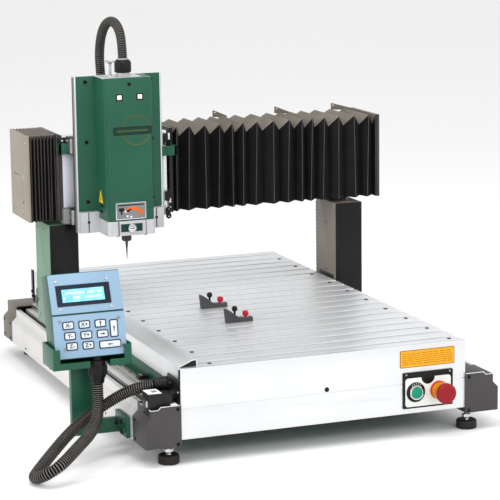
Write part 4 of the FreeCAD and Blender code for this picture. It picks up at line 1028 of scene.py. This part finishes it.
def clamp_block():
    """The block that holds the spindle, with its split face and lock knob."""
    block = Mould()
    half, radius, front, back = 52.4, 8, -34, 30
    corner = [(half - radius + x, front + radius + y) for x, y in arc(radius, -90, 0, 6)]
    plan = [(half, back), (-half, back)] + [(-x, y) for x, y in reversed(corner)] + corner
    block.slab(plan, (HEAD_X, 554, HEAD_LOW), X, Y, 31, 0.8)
    block.box((-313, 584, HEAD_LOW), (-127, 600, 396), 0.8)
    block.box((-270, 528, 383), (-170, 599, 396), 0.4)
    for side in SIDES:
        for out, wide, near, far, low, high, slot in ((76, 1, 583.6, 584.3, 0.4, 43.6, 2),
                                                      (30, 0.9, 519.7, 520.4, 0.5, 31, 2),
                                                      (32.6, 0.5, 519.8, 520.4, 0.5, 31, 0)):
            x = HEAD_X + side * out
            block.box((x - wide, near, HEAD_LOW + low), (x + wide, far, HEAD_LOW + high), 0.1, slot)
    block.box((-249, 517.4, 353), (-191, 520.4, 382.4), 0.8)
    block.slab(rounded(51, 20, 1.5), (-222.5, 517.4, 369.5), X, Z, 1.2, 0.3)
    block.slab(rounded(48, 17, 1), (-222.5, 516.3, 369.5), X, Z, 0.2, 0, 1)
    block.done("clamp_block_face", "z_head", "clamp_block_aluminium", "window_green", "black_plastic",
               replaces=["head_clamp_block"])
    # Grey strips over the Z plate's side faces: painted shade, darkening the bright aluminium edges beside
    # the head.
    side = Mould()
    side.box((-317.2, 600.4, 350.5), (-316.05, 607.6, 683.5), 0.3)
    side.box((-317.3, 607.6, 350.5), (-316.05, 615, 683.5), 0.3, 1)
    side.box((-124, 600.6, 350.5), (-122.9, 612.4, 683.5), 0.3)
    side.done("z_plate_edge_shade", "z_head", "sign_grey", "dark_grey_paint")
    knob = Mould()
    x, _, z = middle_of("lock_knob")
    knob.lathe((x, 534, z), -Y, [(0, 0), (4.1, 0), (4.1, 15.5), (7.6, 16), (9, 17.4), (9, 22.5),
                                 (8.2, 24.4), (6.2, 24.9), (0, 25)], 36)
    knob.posts(12, (x, z), Y, 8.6, 0.8, (510.4, 516.4))
    knob.box((x - 5.5, 508.6, z - 0.8), (x + 5.5, 509.2, z + 0.8), 0.2, 1)
    knob.done("lock_knob_chrome", "lock_knob", "chrome", "black_plastic", replaces=["lock_knob"])


def head_top():
    """The cable gland and the thumbscrew on top of the head."""
    top = Mould()
    cover_top = corners("head_cover")[1][2]
    top.box((-276, 530, cover_top + 0.1), (-190, 594, cover_top + 2), 0.5, 1)
    x, y, _ = middle_of("head_gland")
    top.lathe((x, y, cover_top), Z, [(0, 2), (14.5, 2), (14.5, 7), (13, 7.4), (0, 7.4)], 12, 1)
    top.lathe((x, y, cover_top + 7), Z, [(0, 0), (15.5, 0), (17.6, 1.5), (17.6, 21), (16.4, 24), (13, 28),
                                         (11.4, 28.6), (11.4, 24)], 14)
    top.posts(14, (x, y), Z, 16.8, 1, (694, 714), 0.4)
    # A light ring where the hose leaves the gland: a painted highlight.
    top.lathe((x, y, 719.6), Z, [(11.2, 0), (12.4, 0.3), (12.4, 2.2), (11.2, 2.5)], 32, 1)
    top.done("head_cable_gland", "z_head", "black_plastic", "clamp_block_aluminium",
             replaces=["head_gland"])
    screw = Mould()
    x, y, _ = middle_of("thumbscrew")
    shaft = [(0, 2.4), (3.2, 2.4)]
    for turn in range(14):
        shaft += [(3.2, 3.4 + turn * 2), (2.75, 4.4 + turn * 2)]
    screw.lathe((x, y, cover_top), Z, shaft + [(3.2, 32), (5.5, 33.4), (5.5, 34)], 20)
    screw.lathe((x, y, 716), Z, [(0, 0), (3.6, 0), (5, 1), (5, 3), (3, 3.4)], 20, 1)
    screw.lathe((x, y, 719), Z, [(0, 0), (9.5, 0), (11.6, 0.6), (11.8, 1.8), (10.4, 2.8), (6, 3.2),
                                 (5, 2.2), (0, 2)], 32)
    # A dark ring under the disc's rim: painted shade.
    screw.lathe((x, y, 718.6), Z, [(8, 0), (11.2, 0.3), (11.2, 0.7), (8, 0.7)], 32, 1)
    screw.done("head_thumbscrew", "thumbscrew", "chrome", "tool_steel", replaces=["thumbscrew"])


def spindle():
    x, y, _ = middle_of("collet_nut")
    nut = Mould()
    nut.lathe((x, y, HEAD_LOW), -Z, [(3.05, 0), (11, 0), (11, 5), (10, 5.6), (10, 8), (10.8, 8.6),
                                     (10.8, 15), (8.4, 18.6), (3.05, 19)], 30)
    nut.posts(8, (x, y), Z, 10.3, 0.7, (336, 343))
    nut.done("collet_nut_turned", "spindle", "tool_steel", replaces=["collet_nut"])
    bit = Mould()
    bit.lathe((x, y, 293), Z, [(0, 0), (0.7, 4), (1.1, 12), (1.7, 22), (2.4, 30), (2.95, 35), (2.95, 58)],
              18)
    steps = 26
    for step in range(steps):
        low = 296 + step * 1.2
        bit.post((x, y), Z, step * 0.55, 0.5 + 1.9 * step / steps, 0.35, (low, low + 1.4), 0.1)
    bit.done("router_bit_ground", "spindle", "tool_steel", replaces=["router_bit"])


# ---- pendant
PLATE_THICK = 3
KEYPAD = ((95, 205), (111, 288))
DISPLAY = ((111, 288), (141, 362))
LEGENDS = {(-487.2, 64): "X-", (-455.4, 63.5): "X+", (-485.2, 44): "Y-", (-453, 43.5): "Y+",
           (-482.8, 24): "Z-", (-450.6, 23.5): "Z+"}


def facet(line):
    """Upward and outward directions of a slanted plate, and a function that gives places on it."""
    low, high = Vector((0, *line[0])), Vector((0, *line[1]))
    up = (high - low).normalized()
    out = X.cross(up)
    base = low + out * PLATE_THICK

    def on(x, along, lift=0.0):
        return base + X * x + up * along + out * lift

    return up, out, on


def pendant():
    soften(pendant_case=1.6, pendant_panels=0.7, pendant_gland=0.8)
    up, out, on = facet(DISPLAY)
    screen = Mould()
    screen.slab(rounded(107, 41, 1.2), on(-450.5, 36), X, up, 1.2, 0.3)
    screen.slab(rounded(84, 25, 0.6), on(-451, 35.5, 1.2), X, up, 0.15, 0, 1)
    for row in range(2):
        for column in range(16):
            if random.random() < 0.72:
                x = -489 + column * 4.9
                screen.slab(rounded(2.9, 3.6, 0.2, 1), on(x, 40.5 - row * 9, 1.35), X, up, 0.08, 0, 2)
    for x, high in ((-502.5, 64.2), (-401, 63.5), (-499.5, 10.2), (-398.3, 9)):
        screen.screw(on(x, high), out, 2.9, 1.6, 3, 0)
    screen.done("pendant_screen", "pendant", "ink_blue", "display", "label_white", "guide_steel",
                finish="black_plastic")


def pendant_keys():
    up, out, on = facet(KEYPAD)
    keys = Mould()
    plain = [(x, high, 22, 14.5) for x, high in LEGENDS] + [(-423.5, 63, 22, 14.5), (-420.6, 43, 22, 14.5),
                                                          (-397.3, 51.5, 15.5, 33), (-407, 22, 43, 14.5)]
    for x, high, wide, tall in plain:
        keys.slab(rounded(wide + 1, tall + 1, 3), on(x, high), X, up, 0.9, 0.3)
        keys.slab(rounded(wide - 3.2, tall - 3.2, 1.8), on(x, high, 0.9), X, up, 0.7, 0.3, 1)
    arrow = [(-5, -0.8), (1, -0.8), (1, -2.6), (5, 0), (1, 2.6), (1, 0.8), (-5, 0.8)]
    for x, high, turn in ((-423.5, 63, 90), (-420.6, 43, 0), (-407, 22, 180), (-397.3, 51.5, 90)):
        spin = Matrix.Rotation(math.radians(turn), 2)
        keys.slab([tuple(spin @ Vector(point)) for point in arrow], on(x, high, 1.6), X, up, 0.12, 0, 2)
    for x, high in ((-503.5, 73), (-386.5, 71), (-497, 19), (-381.5, 17.5)):
        keys.screw(on(x, high), out, 2.9, 1.6, 3, 0)
    keys.done("pendant_keys", "pendant", "ink_blue", "key_white", "ink_blue", "guide_steel",
              finish="black_plastic")


def key_legends():
    up, out, on = facet(KEYPAD)
    turn = Matrix((X, up, out)).transposed().to_4x4()
    for number, ((x, high), words) in enumerate(LEGENDS.items()):
        text = bpy.data.curves.new(f"legend_{number}", "FONT")
        text.body = words
        text.size = 0.0105
        text.offset = 0.00022
        text.extrude = 0.00008
        text.align_x = text.align_y = "CENTER"
        holder = bpy.data.objects.new(f"legend_{number}", text)
        mesh = bpy.data.meshes.new_from_object(holder)
        bpy.data.objects.remove(holder)
        mesh.transform(Matrix.Translation(at(*on(x, high, 1.65))) @ turn)
        mesh.materials.append(MAT["ink_blue"])
        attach(added(f"key_legend_{number}", mesh), "pendant")


def pendant_grip():
    grip = Mould()
    x, y, _ = middle_of("pendant_gland")
    grip.lathe((x, y, 149), Z, [(11.9, 0), (13.6, 1.4), (14.6, 9), (18.4, 17), (19.2, 30), (18.6, 37),
                                (15, 38)], 32)
    grip.posts(14, (x, y), Z, 18.6, 1.5, (167, 184), 0.7)
    grip.done("pendant_gland_grip", "pendant", "black_plastic")


def pendant_back():
    """The plate and screws on the pendant's slanted back."""
    low, high = Vector((0, 150, 215)), Vector((0, 180, 352))
    up = (high - low).normalized()
    out = up.cross(X)
    middle = (low + high) / 2 - X * 445
    back = Mould()
    back.slab(rounded(70, 34, 2), middle + up * 18, -X, up, 0.5, 0.2, 1)
    for row in range(3):
        back.slab(rounded(52 - row * 9, 2.2, 0.5, 1), middle + up * (26 - row * 8) + out * 0.5, -X, up, 0.1,
                  0)
    for x in (-58, 58):
        for rise in (-60, 60):
            back.screw(middle + X * x + up * rise, out, 2.9, 1.4, 2, 0)
    back.done("pendant_back_plate", "pendant", "black_plastic", "sign_grey", "guide_steel")


def stand():
    soften(holster_tray=1.1, pendant_stand=1.2)
    bolts = Mould()
    bolts.lathe((-300, 78, 142), -X, [(0, 0), (15.2, 0), (15.2, 10), (14, 12), (14, 20), (13, 27),
                                      (11.9, 28.4)], 30)
    for y, z in ((104, 70), (104, 50), (134, 60)):
        bolts.lathe((-385, y, z), -X, [(5.4, 0), (5.4, 2.6), (4.6, 3.2), (2.6, 3.2), (2.4, 0.6), (0, 0.6)],
                    20)
    bolts.done("stand_bolts", "base", "black_plastic", replaces=["hose_socket"])


# ---- hold-down clamps
def clamps():
    for name in ("front", "rear"):
        x, y, _ = middle_of(f"clamp_knob_{name}")
        ball = Mould()
        ball.lathe((x - 24, y, 198), Z, [(0, 0), (2.2, 0), (2.2, 12.4), (3.2, 13.2), (5, 14.6), (5.9, 17),
                                         (6, 19.4), (5, 22), (3, 23.6), (0, 24.2)], 26)
        ball.slab([(-43, 188.2), (14, 188.2), (14, 197), (-16, 197), (-38, 215), (-44, 217.5), (-46, 215)],
                  (x, y + 7, 0), X, Z, 14, 0.8, 1)
        ball.lathe((x - 11, y, 181), Z, [(3.7, 0), (3.7, 8)], 20, 1)
        ball.box((x - 26, y - 6.7, 177.5), (x + 4, y + 6.7, 181.5), 0.6, 1)
        ball.lathe((x, y, 196.9), Z, [(5.4, 0), (5.4, 0.7), (3.4, 0.7)], 24, 2)
        ball.done(f"clamp_{name}_moulded", f"clamp_{name}", "black_plastic", "clamp_black", "chrome",
                  finish="clamp_black", replaces=[f"clamp_{name}"])
        knob = Mould()
        knob.lathe((x, y, 192.3), Z, [(0, 0), (3.1, 0), (3.1, 5.4), (4, 5.8), (4, 7.4), (5.4, 8.2),
                                      (6.1, 9.8), (6.1, 14.6), (5.6, 16.8), (4, 18), (0, 18.4)], 18)
        knob.posts(8, (x, y), Z, 5.9, 0.8, (201.8, 207.6), 0.4)
        knob.done(f"clamp_knob_{name}_moulded", f"clamp_knob_{name}", "clamp_red",
                  replaces=[f"clamp_knob_{name}"])


def floor():
    mesh = bmesh.new()
    bmesh.ops.create_grid(mesh, x_segments=1, y_segments=1, size=14)
    data = bpy.data.meshes.new("floor")
    mesh.to_mesh(data)
    mesh.free()
    surface("floor_white", (0.9, 0.9, 0.9), 0.75, 0.0, 0.01, 0.5, 30, (1, 1, 1), 0.0)
    data.materials.append(MAT["floor_white"])
    piece = added("floor", data)
    piece.location.z = -0.0002


add_camera()
hoses()
add_studio()
paint_cad_nodes()
bellows()
table()
front_label()
side_cover_end()
base_back()
rails()
motor_details()
feet()
switches()
gantry()
gantry_details()
carriage()
carriage_details()
head()
head_signs()
head_emblem()
clamp_block()
head_top()
spindle()
pendant()
pendant_keys()
key_legends()
pendant_grip()
pendant_back()
stand()
clamps()
floor()
